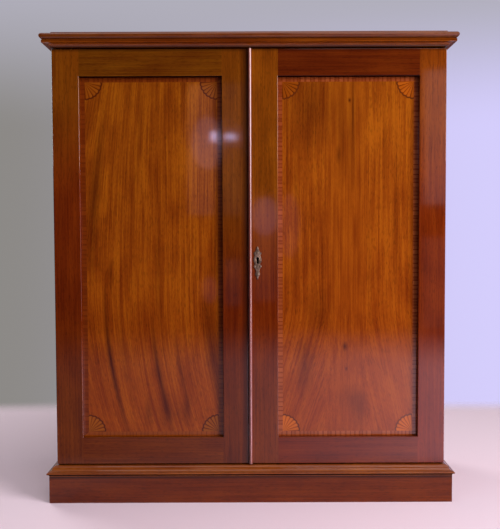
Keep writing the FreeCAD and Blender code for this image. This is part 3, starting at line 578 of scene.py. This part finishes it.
# %% Pine
ring_width = 9 * MM  # twice the real spacing of the rings, so that they show in the picture
fibre_width, fibre_length = 2.222 * MM, 111.1 * MM  # wider than real fibres, which would not show
sway_length = 250 * MM  # over which the heart of the trunk wanders
pine_relief = 0.12 * MM
heart_span = (0.2, 0.8)  # where in the width of a board the heart lies
heart_depth, heart_sway = 80 * MM, 16 * MM  # how far behind the face, and how far it wanders
heart_taper = (0.05, 0.09)  # how fast the heart leaves the face along the board
late_span = (0.35, 0.95)  # the part of a ring over which the wood darkens
late_weight, fibre_share = 0.55, 0.5
board_shades = (0.8, 1.1)  # the darkest and the lightest board
board_step = 37.0  # takes the sway of each board from a place of its own


def pine(name, along, across, seed, start, board_width):
    """Sawn and lightly stained pine: pale early wood with tawny late-wood lines in long arches, no polish."""
    material, tree = new_material(name)
    axis = add(tree, SPLIT, [add(tree, COORDINATES, out="Object")]).node.outputs
    boards = add(tree, OVER, [add(tree, MINUS, [axis[across], start]), board_width])
    number = add(tree, MATH, [boards], operation="FLOOR")
    own = add(tree, "ShaderNodeTexWhiteNoise", {"W": number}, noise_dimensions="1D")
    part = add(tree, MATH, [boards], operation="FRACT")
    heart = add(tree, RANGE, [own, 0, 1, *heart_span])
    off = add(tree, TIMES, [add(tree, MINUS, [part, heart]), board_width])
    start_at = add(tree, TIMES_PLUS, [own, board_step, seed])
    place = add(tree, TIMES_PLUS, [axis[along], 1 / sway_length, start_at])
    sway = add(tree, NOISE, {"W": place, "Scale": 1.0, "Detail": 1.0}, noise_dimensions="1D")
    taper = add(tree, RANGE, [own, 0, 1, *heart_taper])
    level = add(tree, TIMES_PLUS, [axis[along], taper, heart_depth])
    depth = add(tree, TIMES_PLUS, [sway, heart_sway, level])
    squares = add(tree, TIMES_PLUS, [off, off, add(tree, TIMES, [depth, depth])])
    radius = add(tree, POWER, [squares, 0.5])
    ring = add(tree, MATH, [add(tree, OVER, [radius, ring_width])], operation="FRACT")
    late = add(tree, EASED, [ring, *late_span, 0, 1])
    grain = add(tree, JOIN, [axis[n] for n in GRAIN_ORDER[along]])
    density = (1 / fibre_width, 1 / fibre_width, 1 / fibre_length)
    fine = add(tree, MAPPING, {"Vector": grain, "Scale": density})
    fibre = add(tree, NOISE, {"Vector": fine, "Scale": 1.0, "Detail": 2.0})
    mixed = add(tree, TIMES_PLUS, [late, late_weight, add(tree, TIMES, [fibre, fibre_share])])
    colour = add(tree, RAMP, [mixed], stops=[linear("#9C6B41"), linear("#8F5D36"), linear("#79492A")])
    value = add(tree, RANGE, [own, 0, 1, *board_shades])
    shaded = add(tree, HUE, {"Value": value, "Color": colour})
    height = add(tree, TIMES, [mixed, pine_relief])
    normal = add(tree, BUMP, {"Height": height, "Distance": 1.0})
    add(tree, OUTPUT, [add(tree, SURFACE, {
        "Base Color": shaded, "Roughness": 0.72, "Normal": normal, "Specular IOR Level": 0.3})])
    return material


back_names = sorted(name for name in nodes if name.startswith("back_board_"))
back_edge = min(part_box(name)[0].x for name in back_names)
finish(pine("pine_back_boards", "Z", "X", 31, back_edge, -2 * back_edge / len(back_names)), *back_names)
finish(pine("pine_rails", "X", "Z", 32, -0.4, 0.8), "plinth_back", "cornice_back_rail")
finish(pine("pine_carcass_boards", "X", "Y", 33, -0.2, 0.2), "carcass_top", "carcass_bottom")
finish(pine("pine_blocks", "Z", "X", 34, -0.6, 0.1), "plinth_corner_blocks")
print(f"pine on {len(back_names)} back boards, carcass boards, rails and blocks")

# %% [markdown]
# ## Brass and old brass
# The small fittings are brass, bright where they rub and dull elsewhere, and the escutcheon has gone grey-brown
# with age. Tarnish grows in clouds, so one noise mixes the bright and the dull colour and roughens the dull places.

# %% Brass and old brass
cloud_size, grit_size = 11.11 * MM, 0.6667 * MM  # the grit is coarser than real, so that it shows
grit_relief = 0.02 * MM
tarnish_roughness = 0.25
tarnish_from, tarnish_full = 0.62, 0.72  # in the cloud noise, before patina
keyhole_shade_strength = 3.0


def brass(name, bright, dull, patina, roughness, painted_keyhole_shade=None):
    """Brass bright where rubbed and clouded with tarnish, with painted shade in black round a given X, Z and radius.
    """
    material, tree = new_material(name)
    spot = add(tree, COORDINATES, out="Object")
    cloud = add(tree, NOISE, {"Vector": spot, "Scale": 1 / cloud_size, "Detail": 4, "Roughness": 0.65})
    tarnish = add(tree, EASED, [cloud, tarnish_from - patina, tarnish_full, 0, 1])
    colour = add(tree, BLEND, {0: tarnish, 6: linear(bright), 7: linear(dull)}, out=2)
    # painted shade: black round the keyhole, where the inside of the lock lies in shadow
    if painted_keyhole_shade:
        x, z, radius = painted_keyhole_shade
        keyhole_shade = marks(tree, spot, [(x, z, radius, radius, keyhole_shade_strength)])
        colour = add(tree, BLEND, {0: keyhole_shade, 6: colour, 7: linear("#0A0604")}, out=2)
    rough = add(tree, RANGE, [tarnish, 0, 1, roughness, roughness + tarnish_roughness])
    grit = add(tree, NOISE, {"Vector": spot, "Scale": 1 / grit_size, "Detail": 2})
    height = add(tree, TIMES, [grit, grit_relief])
    normal = add(tree, BUMP, {"Height": height, "Distance": 1.0})
    surface = add(tree, SURFACE, {"Base Color": colour, "Metallic": 1.0, "Roughness": rough, "Normal": normal})
    add(tree, OUTPUT, [surface])
    return material


drawn_brass = brass("drawn_brass", "#C9A35A", "#7C5E30", 0.2, 0.28)
old_brass = brass("aged_cast_brass", "#8C7868", "#4E4036", 0.35, 0.5)
pivot_brass = brass("tarnished_pivot_brass", "#5A4628", "#33261A", 0.35, 0.45)
lock_brass = brass("lock_brass", "#C9A35A", "#7C5E30", 0.2, 0.28, painted_keyhole_shade=(0.020, 0.632, 0.016))
finish(drawn_brass, "shelf_pegs", "bolt_keeps", "lock_keep", "bolt_plates", "lock_bolt", "top_bolt", "bottom_bolt")
finish(pivot_brass, "left_fixed_pivots", "right_fixed_pivots", "left_door_pivot_plates", "right_door_pivot_plates")
finish(lock_brass, "lock_case")
print("brass fittings, and a lock that is black with painted shade round its keyhole")

# %% [markdown]
# ## Crossbanding
# The border of each panel is a ribbon of veneer cut across the grain, pieced together from short blocks, so it
# reads as a row of light and dark pieces. A texture could fake the row, but the blocks are real pieces of wood,
# so Geometry Nodes lay them: each block takes a random share of the strip, and a running sum turns the shares into
# places, so that the blocks always fill the strip exactly. Every second block is a narrow dark one.

# %% Helpers for geometry trees
STORE = ("GeometryNodeStoreNamedAttribute", {"data_type": "FLOAT", "domain": "POINT"})
STORED = ("GeometryNodeInputNamedAttribute", {"data_type": "FLOAT_VECTOR"})
RANDOM = "FunctionNodeRandomValue"  # least and most at inputs 2 and 3, seed at 8, number at output 1


def inputs_of(tree, **kinds):
    """Named inputs of a geometry tree, and the outputs of its input node."""
    for name, kind in kinds.items():
        tree.interface.new_socket(name, in_out="INPUT", socket_type="NodeSocket" + kind)
    tree.interface.new_socket("Geometry", in_out="OUTPUT", socket_type="NodeSocketGeometry")
    return tree.nodes.new("NodeGroupInput").outputs


def made_real(tree, instances, material):
    """Ends a tree: the export drops instances, so they become plain geometry and get their material."""
    real = add(tree, "GeometryNodeRealizeInstances", [instances])
    painted = add(tree, "GeometryNodeSetMaterial", {"Geometry": real, "Material": material})
    add(tree, "NodeGroupOutput", [painted])
    print(f"{tree.name} tree: {len(tree.nodes)} nodes")


def built(tree, source=None, **values):
    """The plain mesh that a geometry tree makes with these values for its inputs."""
    carrier = bpy.data.objects.new("carrier", source or bpy.data.meshes.new("carrier"))
    scene.collection.objects.link(carrier)
    modifier = carrier.modifiers.new("shape", "NODES")
    modifier.node_group = tree
    for item in tree.interface.items_tree:
        if item.in_out == "INPUT" and item.name in values:
            modifier[item.identifier] = values[item.name]
    depsgraph = bpy.context.evaluated_depsgraph_get()
    mesh = bpy.data.meshes.new_from_object(carrier.evaluated_get(depsgraph), preserve_all_data_layers=True,
                                           depsgraph=depsgraph)
    bpy.data.objects.remove(carrier)
    return mesh


# %% Crossbanding tree
share_range = (0.55, 1.45)  # of a block's share of the strip
dark_width, dark_tone = 0.55, -0.4  # of every second block
tone_chance = 0.4


def crossband_tree():
    """A row of blocks along X from zero, centred on Y, with their faces from Z zero up."""
    tree = bpy.data.node_groups.new("crossbanding", "GeometryNodeTree")
    given = inputs_of(tree, Length="Float", Width="Float", Thickness="Float", Blocks="Int", Seed="Int",
                      Lift="Float", Finish="Material")
    odd = add(tree, MATH, [add(tree, "GeometryNodeInputIndex"), 2.0], operation="MODULO")
    wide = add(tree, RANGE, [odd, 0, 1, 1.0, dark_width])
    chance = add(tree, RANDOM, {2: share_range[0], 3: share_range[1], 8: given["Seed"]}, out=1)
    share = add(tree, TIMES, [chance, wide])
    sums = add(tree, "GeometryNodeAccumulateField", [share]).node.outputs
    unit = add(tree, OVER, [given["Length"], sums["Total"]])
    size = add(tree, TIMES, [share, unit])
    start = add(tree, TIMES, [sums["Trailing"], unit])
    centre = add(tree, TIMES_PLUS, [size, 0.5, start])
    shade = add(tree, RANDOM, {2: 0.0, 3: tone_chance, 8: given["Seed"]}, out=1)
    # the lift is partly a strip's own tone and partly painted light and shade
    lifted = add(tree, PLUS, [shade, given["Lift"]])
    tone = add(tree, TIMES_PLUS, [odd, dark_tone, lifted])
    half = add(tree, TIMES, [given["Thickness"], 0.5])
    stretch = add(tree, JOIN, [size, given["Width"], given["Thickness"]])
    row = add(tree, "GeometryNodePoints", [given["Blocks"]])
    row = add(tree, STORE, {"Geometry": row, "Name": "size", "Value": stretch}, data_type="FLOAT_VECTOR")
    row = add(tree, STORE, {"Geometry": row, "Name": "tone", "Value": tone})
    row = add(tree, "GeometryNodeSetPosition", {"Geometry": row, "Position": add(tree, JOIN, [centre, 0.0, half])})
    cube = add(tree, "GeometryNodeMeshCube", [(1, 1, 1)])
    blocks = add(tree, "GeometryNodeInstanceOnPoints", {"Points": row, "Instance": cube,
                                                        "Scale": add(tree, STORED, ["size"])})
    made_real(tree, blocks, given["Finish"])
    return tree


crossbanding = crossband_tree()

# %% [markdown]
# ## Laying the border
# The strips are made flat and straight, as they come from the bench. Each is cut at 45 degrees at both ends, turned
# into its place, and joined with the other three to one piece that rides on its door. The wood under the polish
# takes its light or dark from the number that the tree stored on every block.

# %% Crossband wood
inlay_gloss, inlay_waves = 0.07, 0.05 * MM
inlay_pores = (0.62, 0.75)  # the part of the fibre noise that reads as pores
band_fibre = 1.4286 * MM  # real fibres are far finer and would not show
band_streak = 0.5  # how far the fibres change the tone
upper_shade_span = (0.75, 1.0)


def crossband_wood(side, dark, light, upper_shade):
    """Cross-cut blocks of light and dark wood under the same polish as the panel, short grain across the strip."""
    material, tree = new_material(f"crossbanding_{side}")
    tone = add(tree, ATTRIBUTE, out="Fac", attribute_name="tone")
    spot = add(tree, COORDINATES, out="Object")
    fibre = add(tree, NOISE, {"Vector": spot, "Scale": 1 / band_fibre, "Detail": 2})
    level = add(tree, SPLIT, [spot]).node.outputs["Z"]
    centred = -band_streak / 2
    shaded_above = add(tree, EASED, [level, *upper_shade_span, centred, centred - upper_shade])  # painted shade, darker towards the top
    drift = add(tree, TIMES_PLUS, [fibre, band_streak, shaded_above])
    streaked = add(tree, PLUS, [drift, tone])
    colour = add(tree, RAMP, [streaked], stops=[linear(dark), linear(light)])
    pore = add(tree, RANGE, [fibre, *inlay_pores, 0, 1])
    shellac(tree, colour, pore, inlay_gloss, inlay_waves)
    return material


band_colours = {"left": ("#642606", "#8A4210", 0.05), "right": ("#742F0E", "#AC5C30", 0.25)}  # dark, light, and painted shade at the top
band_woods = {side: crossband_wood(side, *colours) for side, colours in band_colours.items()}
print("crossband woods:", ", ".join(wood.name for wood in band_woods.values()))

# %% Helpers for finished pieces
def put(name, mesh, body, slot, *replaced):
    """A finished piece at the origin, riding on its body and standing for the CAD nodes that it replaces."""
    piece = bpy.data.objects.new(name, mesh)
    scene.collection.objects.link(piece)
    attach(piece, body)
    if replaced:
        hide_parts(*replaced)
    print(f"{name}: {len(mesh.polygons)} faces on {body}")


def joined(name, parts, material):
    """Several meshes of one material, each with its place, as one mesh that keeps their attributes."""
    shape = bmesh.new()
    for mesh, matrix in parts:
        mesh.transform(matrix)
        shape.from_mesh(mesh)
    for face in shape.faces:
        face.material_index = 0
    result = bpy.data.meshes.new(name)
    shape.to_mesh(result)
    shape.free()
    result.materials.append(material)
    return result


# %% Strips with mitred ends
banding_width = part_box("left_door_fans")[0].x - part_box("left_door_banding")[0].x
print(f"banding {banding_width / MM:.1f} mm wide")


def strip_place(low, high, side):
    """Length of one strip, and the matrix from its own frame, with Z towards the camera, to its place."""
    half = banding_width / 2
    face = Matrix.Rotation(math.pi / 2, 4, "X")  # X stays, Y becomes up, Z becomes towards the camera
    if side in ("bottom", "top"):
        level = low.z + half if side == "bottom" else high.z - half
        return high.x - low.x, Matrix.Translation((low.x, high.y, level)) @ face
    column = low.x + half if side == "left" else high.x - half
    upright = Matrix.Rotation(-math.pi / 2, 4, "Y")
    return high.z - low.z, Matrix.Translation((column, high.y, low.z)) @ upright @ face


def mitred(mesh, length):
    """The strip with its two ends cut at 45 degrees, longer on the outside."""
    shape = bmesh.new()
    shape.from_mesh(mesh)
    half = banding_width / 2
    for end, sense in ((0.0, 1), (length, -1)):
        cut = bmesh.ops.bisect_plane(shape, geom=shape.verts[:] + shape.edges[:] + shape.faces[:],
                                     plane_co=(end, -half, 0), plane_no=(-sense, 1, 0), clear_outer=True)
        rim = [e for e in cut["geom_cut"] if isinstance(e, bmesh.types.BMEdge)]
        bmesh.ops.holes_fill(shape, edges=[e for e in rim if e.is_boundary])
    shape.to_mesh(mesh)
    shape.free()
    return mesh


# %% Crossbanding on the doors
band_lifts = {"left": (0.8, 0.2, 0.0, 0.3), "right": (0.3, 0.38, 0.3, 0.3)}  # bottom, top, left and right strip; each lift is partly the strip's own veneer and partly painted light and shade
mean_block = 5.4 * MM
for door_number, (side, wood) in enumerate(band_woods.items()):
    node = f"{side}_door_banding"
    low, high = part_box(node)
    strips = []
    for i, edge in enumerate(("bottom", "top", "left", "right")):
        length, matrix = strip_place(low, high, edge)
        mesh = built(crossbanding, Length=length, Width=banding_width, Thickness=high.y - low.y, Finish=wood,
                     Blocks=round(length / mean_block), Seed=10 * door_number + i, Lift=band_lifts[side][i])
        if edge in ("top", "left"):  # turned so that the mitre's long side is outside
            matrix = matrix @ Matrix.Translation((length, 0, 0)) @ Matrix.Rotation(math.pi, 4, "Z")
        strips.append((mitred(mesh, length), matrix))
    put(f"{side}_crossbanding", joined(f"{side}_crossbanding", strips, wood), f"{side}_door", "crossbanding", node)

# %% [markdown]
# ## Quarter fans
# Each corner holds a quarter fan of satinwood rays. An inlayer dips one edge of every ray in hot sand, so it
# scorches from dark to light across its width, and lets in a dark line round the scalloped ends. One ray is a
# small grid bent into a wedge, and Geometry Nodes turn copies of it about the corner. The grid's two directions
# are kept as attributes, and the material paints the scorching along them.

# %% Fan tree
ray_grid = (9, 11)  # points across a ray and along it
tip_gap, seam_gap = 0.02 * MM, 0.01 * MM  # points nearer than this become one


def fan_tree():
    """Rays from X round to Z about the origin, with their faces towards minus Y."""
    tree = bpy.data.node_groups.new("quarter_fan", "GeometryNodeTree")
    given = inputs_of(tree, Radius="Float", Scallop="Float", Thickness="Float", Rays="Int", Seed="Int",
                      Tone="Float", Finish="Material")
    grid = add(tree, "GeometryNodeMeshGrid", [1.0, 1.0, *ray_grid])
    at = add(tree, "GeometryNodeInputPosition")
    corner = add(tree, VECTOR_MATH, [at, (0.5, 0.5, 0.0)], operation="ADD")
    uv = add(tree, SPLIT, [corner]).node.outputs
    turn = add(tree, OVER, [math.pi / 2, given["Rays"]])
    angle = add(tree, TIMES, [uv["X"], turn])
    bulge = add(tree, MATH, [add(tree, TIMES, [uv["X"], math.pi])], operation="SINE")
    reach = add(tree, TIMES_PLUS, [bulge, given["Scallop"], given["Radius"]])
    length = add(tree, TIMES, [uv["Y"], reach])
    along = add(tree, TIMES, [length, add(tree, MATH, [angle], operation="COSINE")])
    up = add(tree, TIMES, [length, add(tree, MATH, [angle], operation="SINE")])
    named = add(tree, STORE, {"Geometry": grid, "Name": "ray_uv", "Value": corner}, data_type="FLOAT_VECTOR")
    bent = add(tree, JOIN, [along, 0.0, up])
    wedge = add(tree, "GeometryNodeSetPosition", {"Geometry": named, "Position": bent})
    tip = add(tree, "GeometryNodeMergeByDistance", {"Geometry": wedge, "Distance": tip_gap})
    down = add(tree, JOIN, [0.0, given["Thickness"], 0.0])
    front = add(tree, "GeometryNodeExtrudeMesh", {"Mesh": tip, "Offset": down, "Offset Scale": 1.0,
                                                  "Individual": False})
    both = add(tree, "GeometryNodeJoinGeometry", [front])
    tree.links.new(add(tree, "GeometryNodeFlipFaces", [tip]), both.node.inputs[0])
    ray = add(tree, "GeometryNodeMergeByDistance", {"Geometry": both, "Distance": seam_gap})
    count = add(tree, "GeometryNodePoints", [given["Rays"]])
    step = add(tree, TIMES, [add(tree, "GeometryNodeInputIndex"), turn])
    spin = add(tree, "FunctionNodeAxisAngleToRotation", [(0, -1, 0), step])
    fan = add(tree, "GeometryNodeInstanceOnPoints", {"Points": count, "Instance": ray, "Rotation": spin})
    shade = add(tree, RANDOM, {2: 0.0, 3: 1.0, 8: given["Seed"]}, out=1)
    for name, value in (("shade", shade), ("tone", given["Tone"])):
        fan = add(tree, STORE, {"Geometry": fan, "Name": name, "Value": value}, domain="INSTANCE")
    made_real(tree, fan, given["Finish"])
    return tree


quarter_fan = fan_tree()

# %% Satinwood
scorch_width, scorch_depth = 0.55, 0.8  # the share of a ray that is scorched, and how far its colour goes
ray_chance = 0.25
string_span = (0.88, 0.95)  # the share of a ray's length at which the dark string starts and is full
fan_fibre, fibre_weight = 2 * MM, 0.4  # coarser than real fibres too


def satinwood(side, codes, string_code):
    """Sand-shaded satinwood: each ray scorched dark along one edge, a dark string round the scalloped end."""
    material, tree = new_material(f"satinwood_{side}")
    uv = add(tree, ATTRIBUTE, out="Vector", attribute_name="ray_uv")
    axis = add(tree, SPLIT, [uv]).node.outputs
    shade = add(tree, ATTRIBUTE, out="Fac", attribute_name="shade")
    scorch = add(tree, EASED, [axis["X"], 0.0, scorch_width, 0.0, scorch_depth])
    toned = add(tree, TIMES_PLUS, [shade, ray_chance, scorch])
    spot = add(tree, COORDINATES, out="Object")
    fibre = add(tree, NOISE, {"Vector": spot, "Scale": 1 / fan_fibre, "Detail": 2})
    streaked = add(tree, TIMES_PLUS, [add(tree, PLUS, [fibre, -0.5]), fibre_weight, toned])
    colour = add(tree, RAMP, [streaked], stops=[linear(code) for code in codes])
    # the tone is partly a fan's own wood and partly painted shade
    tone = add(tree, ATTRIBUTE, out="Fac", attribute_name="tone")
    colour = add(tree, HUE, {"Value": tone, "Color": colour})
    string = add(tree, EASED, [axis["Y"], *string_span, 0, 1])
    lined = add(tree, BLEND, {0: string, 6: colour, 7: linear(string_code)}, out=2)
    pore = add(tree, RANGE, [fibre, *inlay_pores, 0, 1])
    shellac(tree, lined, pore, inlay_gloss, inlay_waves)
    return material


fan_colours = {"left": ("#4C1C02", "#803A06", "#96500F"), "right": ("#5E2402", "#A04A08", "#B85E14")}
string_colours = {"left": "#501E08", "right": "#5C280C"}
fan_woods = {side: satinwood(side, fan_colours[side], string_colours[side]) for side in fan_colours}
print("satinwoods:", ", ".join(wood.name for wood in fan_woods.values()))

# %% Fans in the corners
fan_radius, fan_scallop, fan_rays = 44 * MM, 2 * MM, 6
fan_tones = {"left": (0.92, 0.86, 0.78, 0.92), "right": (1.0, 1.0, 0.83, 0.57)}  # from the lower left corner round; partly the fans' own wood and partly painted shade, darker on the upper fans
for door_number, (side, wood) in enumerate(fan_woods.items()):
    node = f"{side}_door_fans"
    low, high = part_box(node)
    fans = []
    for i, (x, z) in enumerate([(low.x, low.z), (high.x, low.z), (high.x, high.z), (low.x, high.z)]):
        mesh = built(quarter_fan, Radius=fan_radius, Scallop=fan_scallop, Thickness=high.y - low.y, Rays=fan_rays,
                     Seed=20 + 4 * door_number + i, Tone=fan_tones[side][i], Finish=wood)
        fans.append((mesh, Matrix.Translation((x, low.y, z)) @ Matrix.Rotation(-i * math.pi / 2, 4, "Y")))
    put(f"{side}_fans", joined(f"{side}_fans", fans, wood), f"{side}_door", "satinwood", node)

# %% [markdown]
# ## The cast escutcheon
# CAD gives the escutcheon its outline, its keyhole and its thickness. A casting also has rounded edges and relief,
# so this piece starts as a copy of the CAD plate, gets its front edges eased, and then a rim round the keyhole,
# bosses on the ears and the drop, a leaf on the finial and two pins. Each boss is an egg, half sunk in the plate.

# %% Relief of the escutcheon
plate_low, plate_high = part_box("escutcheon")
plate_middle = (plate_low + plate_high) / 2
bosses = [  # X and Z from the middle of the plate, half width, half height and rise, in millimetres
    (0, 36, 2.0, 6.0, 0.9), (7.6, 25.6, 2.2, 2.2, 0.9), (-7.6, 25.6, 2.2, 2.2, 0.9), (0, 26.5, 3.6, 3.4, 1.1),
    (7.4, 9, 1.8, 5.0, 0.8), (-7.4, 9, 1.8, 5.0, 0.8), (7.4, -9.4, 2.4, 2.4, 0.9), (-7.4, -9.4, 2.4, 2.4, 0.9),
    (0, -11, 3.8, 4.2, 1.1), (2.6, -19, 1.4, 4.0, 0.7), (-2.6, -19, 1.4, 4.0, 0.7), (0, -31, 3.8, 4.4, 1.2),
    (0, -39, 1.6, 3.2, 0.7), (0, 31, 1.0, 1.0, 1.3), (0, -25.6, 1.0, 1.0, 0.9),
]
rim_half = (5.2, 11.0)  # of the oval rim round the keyhole, in millimetres
rim_rise, rim_steps, rim_sides = 1.0, 40, 8
keyhole_middle = 6.6  # above the middle of the plate, in millimetres


def oval_rim(shape, centre):
    """A rounded rim along an oval, as one closed tube of eight-sided rings."""
    rings = []
    for i in range(rim_steps):
        turn = 2 * math.pi * i / rim_steps
        out = Vector((math.cos(turn), 0, math.sin(turn)))
        middle_line = centre + Vector((rim_half[0] * out.x, 0, rim_half[1] * out.z)) * MM
        ring = []
        for k in range(rim_sides):
            angle = 2 * math.pi * k / rim_sides
            offset = out * math.cos(angle) + Vector((0, math.sin(angle), 0))
            ring.append(shape.verts.new(middle_line + offset * rim_rise * MM))
        rings.append(ring)
    for i in range(rim_steps):
        here, after = rings[i], rings[(i + 1) % rim_steps]
        for k in range(rim_sides):
            beside = (k + 1) % rim_sides
            shape.faces.new((here[k], here[beside], after[beside], after[k]))


# %% Escutcheon
weld = 0.01 * MM
eased_edge, sharp_angle = 0.6 * MM, 0.8  # the rounding of the front edges, and the angle of an edge that gets it
casting = bmesh.new()
casting.from_mesh(nodes["escutcheon"].data)
bmesh.ops.remove_doubles(casting, verts=casting.verts[:], dist=weld)
front_edges = [e for e in casting.edges if all(abs(v.co.y - plate_low.y) < weld for v in e.verts)
               and len(e.link_faces) == 2 and e.calc_face_angle() > sharp_angle]
bmesh.ops.bevel(casting, geom=front_edges, offset=eased_edge, segments=2, affect="EDGES", profile=0.5)
for x, z, half_width, half_height, rise in bosses:
    at = Matrix.Translation((plate_middle.x + x * MM, plate_low.y, plate_middle.z + z * MM))
    egg = Matrix.Diagonal((half_width * MM, rise * MM, half_height * MM, 1.0))
    bmesh.ops.create_uvsphere(casting, u_segments=14, v_segments=9, radius=1.0, matrix=at @ egg)
oval_rim(casting, Vector((plate_middle.x, plate_low.y, plate_middle.z + keyhole_middle * MM)))
bmesh.ops.recalc_face_normals(casting, faces=casting.faces[:])
casting_mesh = bpy.data.meshes.new("cast_escutcheon")
casting.to_mesh(casting_mesh)
casting.free()
casting_mesh.shade_smooth()
casting_mesh.set_sharp_from_angle(angle=math.radians(40))
casting_mesh.materials.append(old_brass)
put("cast_escutcheon", casting_mesh, "right_door", "aged_brass", "escutcheon")

# %% [markdown]
# ## Screws and nails
# Every plate is held by slotted brass screws, and the back boards by nails. They all repeat, so one Geometry Nodes
# tree puts a head on each point of a mesh and turns its slot at random. The points come from the boxes of the CAD
# plates, and each keeps the direction that its head faces. The heads of one body become one piece.

# %% Heads of screws and nails
head_sides = 20
slot_length, slot_width = 2.4, 0.28  # in radii of the head


def heads_tree(name, slotted):
    """A flat head on every point, along the point's own facing, with or without a slot."""
    tree = bpy.data.node_groups.new(name, "GeometryNodeTree")
    given = inputs_of(tree, Points="Geometry", Radius="Float", Rise="Float", Sunk="Float", Seed="Int",
                      Finish="Material")
    depth = add(tree, PLUS, [given["Rise"], given["Sunk"]])
    drop = add(tree, TIMES, [add(tree, MINUS, [given["Rise"], given["Sunk"]]), 0.5])
    rod = add(tree, "GeometryNodeMeshCylinder", {"Vertices": head_sides, "Radius": given["Radius"], "Depth": depth})
    head = add(tree, "GeometryNodeTransform", {"Geometry": rod, "Translation": add(tree, JOIN, [0.0, 0.0, drop])})
    if slotted:
        length = add(tree, TIMES, [given["Radius"], slot_length])
        width = add(tree, TIMES, [given["Radius"], slot_width])
        slot = add(tree, "GeometryNodeMeshCube", [add(tree, JOIN, [length, width, given["Sunk"]])])
        head = add(tree, "GeometryNodeMeshBoolean", {"Mesh 1": head, "Mesh 2": slot}, operation="DIFFERENCE")
    turn = add(tree, RANDOM, {2: 0.0, 3: math.pi, 8: given["Seed"]}, out=1)
    spin = add(tree, "FunctionNodeAxisAngleToRotation", [(0, 0, 1), turn])
    facing = add(tree, STORED, ["facing"])
    lined_up = add(tree, "FunctionNodeAlignRotationToVector", {"Rotation": spin, "Vector": facing}, axis="Z")
    heads = add(tree, "GeometryNodeInstanceOnPoints", {"Points": given["Points"], "Instance": head,
                                                       "Rotation": lined_up})
    made_real(tree, heads, given["Finish"])
    return tree


def headed(name, tree, places, body, slot, metal, **sizes):
    """One piece with a head at each place, given as a point and the direction that it faces."""
    points = bpy.data.meshes.new(name + "_points")
    points.from_pydata([point for point, _ in places], [], [])
    facing = points.attributes.new("facing", "FLOAT_VECTOR", "POINT")
    for item, (_, way) in zip(facing.data, places):
        item.vector = way
    mesh = built(tree, points, Finish=metal, **sizes)
    put(name, joined(name, [(mesh, Matrix())], metal), body, slot)


# %% Places of the screws
LEFT, RIGHT, BACK, UP, DOWN = (-1, 0, 0), (1, 0, 0), (0, 1, 0), (0, 0, 1), (0, 0, -1)
pivot_screws = (22 * MM, 48 * MM)  # from the outer end of a pivot plate
bolt_plate_height, bolt_plate_rise = 74 * MM, 2 * MM
plate_inset, bolt_plate_inset, case_inset = 5 * MM, 3.5 * MM, 6 * MM


def pivot_places(node, hand, faces):
    """Screws in the upper and lower pivot plates of a node, at the given levels."""
    low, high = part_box(node)
    outer, y = low.x if hand < 0 else high.x, (low.y + high.y) / 2
    return [(Vector((outer - hand * step, y, level)), way) for level, way in faces for step in pivot_screws]


def corner_places(low, high, inset, y, way):
    """Four screws near the corners of an upright plate."""
    return [(Vector((x, y, z)), way) for x in (low.x + inset, high.x - inset)
            for z in (low.z + inset, high.z - inset)]


door_low, door_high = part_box("left_door_hinge_stile")
plinth_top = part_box("base_moulding_front")[1].z
cornice_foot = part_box("cornice_front")[0].z
screws = {"carcass": [], "left_door": [], "right_door": []}
for side, hand in (("left", -1), ("right", 1)):
    screws["carcass"] += pivot_places(f"{side}_fixed_pivots", hand, ((plinth_top, UP), (cornice_foot, DOWN)))
    door_faces = ((door_high.z, UP), (door_low.z, DOWN))
    screws[f"{side}_door"] += pivot_places(f"{side}_door_pivot_plates", hand, door_faces)

low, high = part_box("lock_case")
levels, y = (low.z + case_inset, high.z - plate_inset), (low.y + high.y) / 2
screws["right_door"] += [(Vector((low.x, y, z)), LEFT) for z in levels]
screws["right_door"] += corner_places(low, high, plate_inset, high.y, BACK)
low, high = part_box("lock_keep")
levels, y = (low.z + plate_inset, high.z - plate_inset), (low.y + high.y) / 2
screws["left_door"] += [(Vector((high.x, y, z)), RIGHT) for z in levels]
low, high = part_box("bolt_plates")
plate_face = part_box("left_door_meeting_stile")[1].y + bolt_plate_rise
for foot in (low.z, high.z - bolt_plate_height):
    plate_foot, plate_head = Vector((low.x, high.y, foot)), Vector((high.x, high.y, foot + bolt_plate_height))
    screws["left_door"] += corner_places(plate_foot, plate_head, bolt_plate_inset, plate_face, BACK)
low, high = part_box("bolt_keeps")
for level, way in ((low.z, UP), (high.z, DOWN)):
    screws["carcass"] += [(Vector((x, (low.y + high.y) / 2, level)), way)
                          for x in (low.x + plate_inset, high.x - plate_inset)]
print("screws:", {body: len(places) for body, places in screws.items()})

# %% Screws and nails
nail_side, nail_end = 25 * MM, 10 * MM  # from the long edges and the ends of a back board
slotted_screws = heads_tree("slotted_screws", True)
for seed, (body, places) in enumerate(screws.items(), 40):
    headed(f"{body}_screws", slotted_screws, places, body, "brass", drawn_brass, Radius=2.4 * MM, Rise=0.1 * MM,
           Sunk=1.2 * MM, Seed=seed)

iron = brass("iron_nail_heads", "#4A4038", "#2A211B", 0.3, 0.5)
nails = []
for name in back_names:
    low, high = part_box(name)
    for x in (low.x + nail_side, high.x - nail_side):
        nails += [(Vector((x, high.y, z)), BACK) for z in (low.z + nail_end, high.z - nail_end)]
headed("back_nails", heads_tree("nail_heads", False), nails, "carcass", "aged_brass", iron, Radius=2.2 * MM,
       Rise=0.05 * MM, Sunk=1.0 * MM, Seed=50)
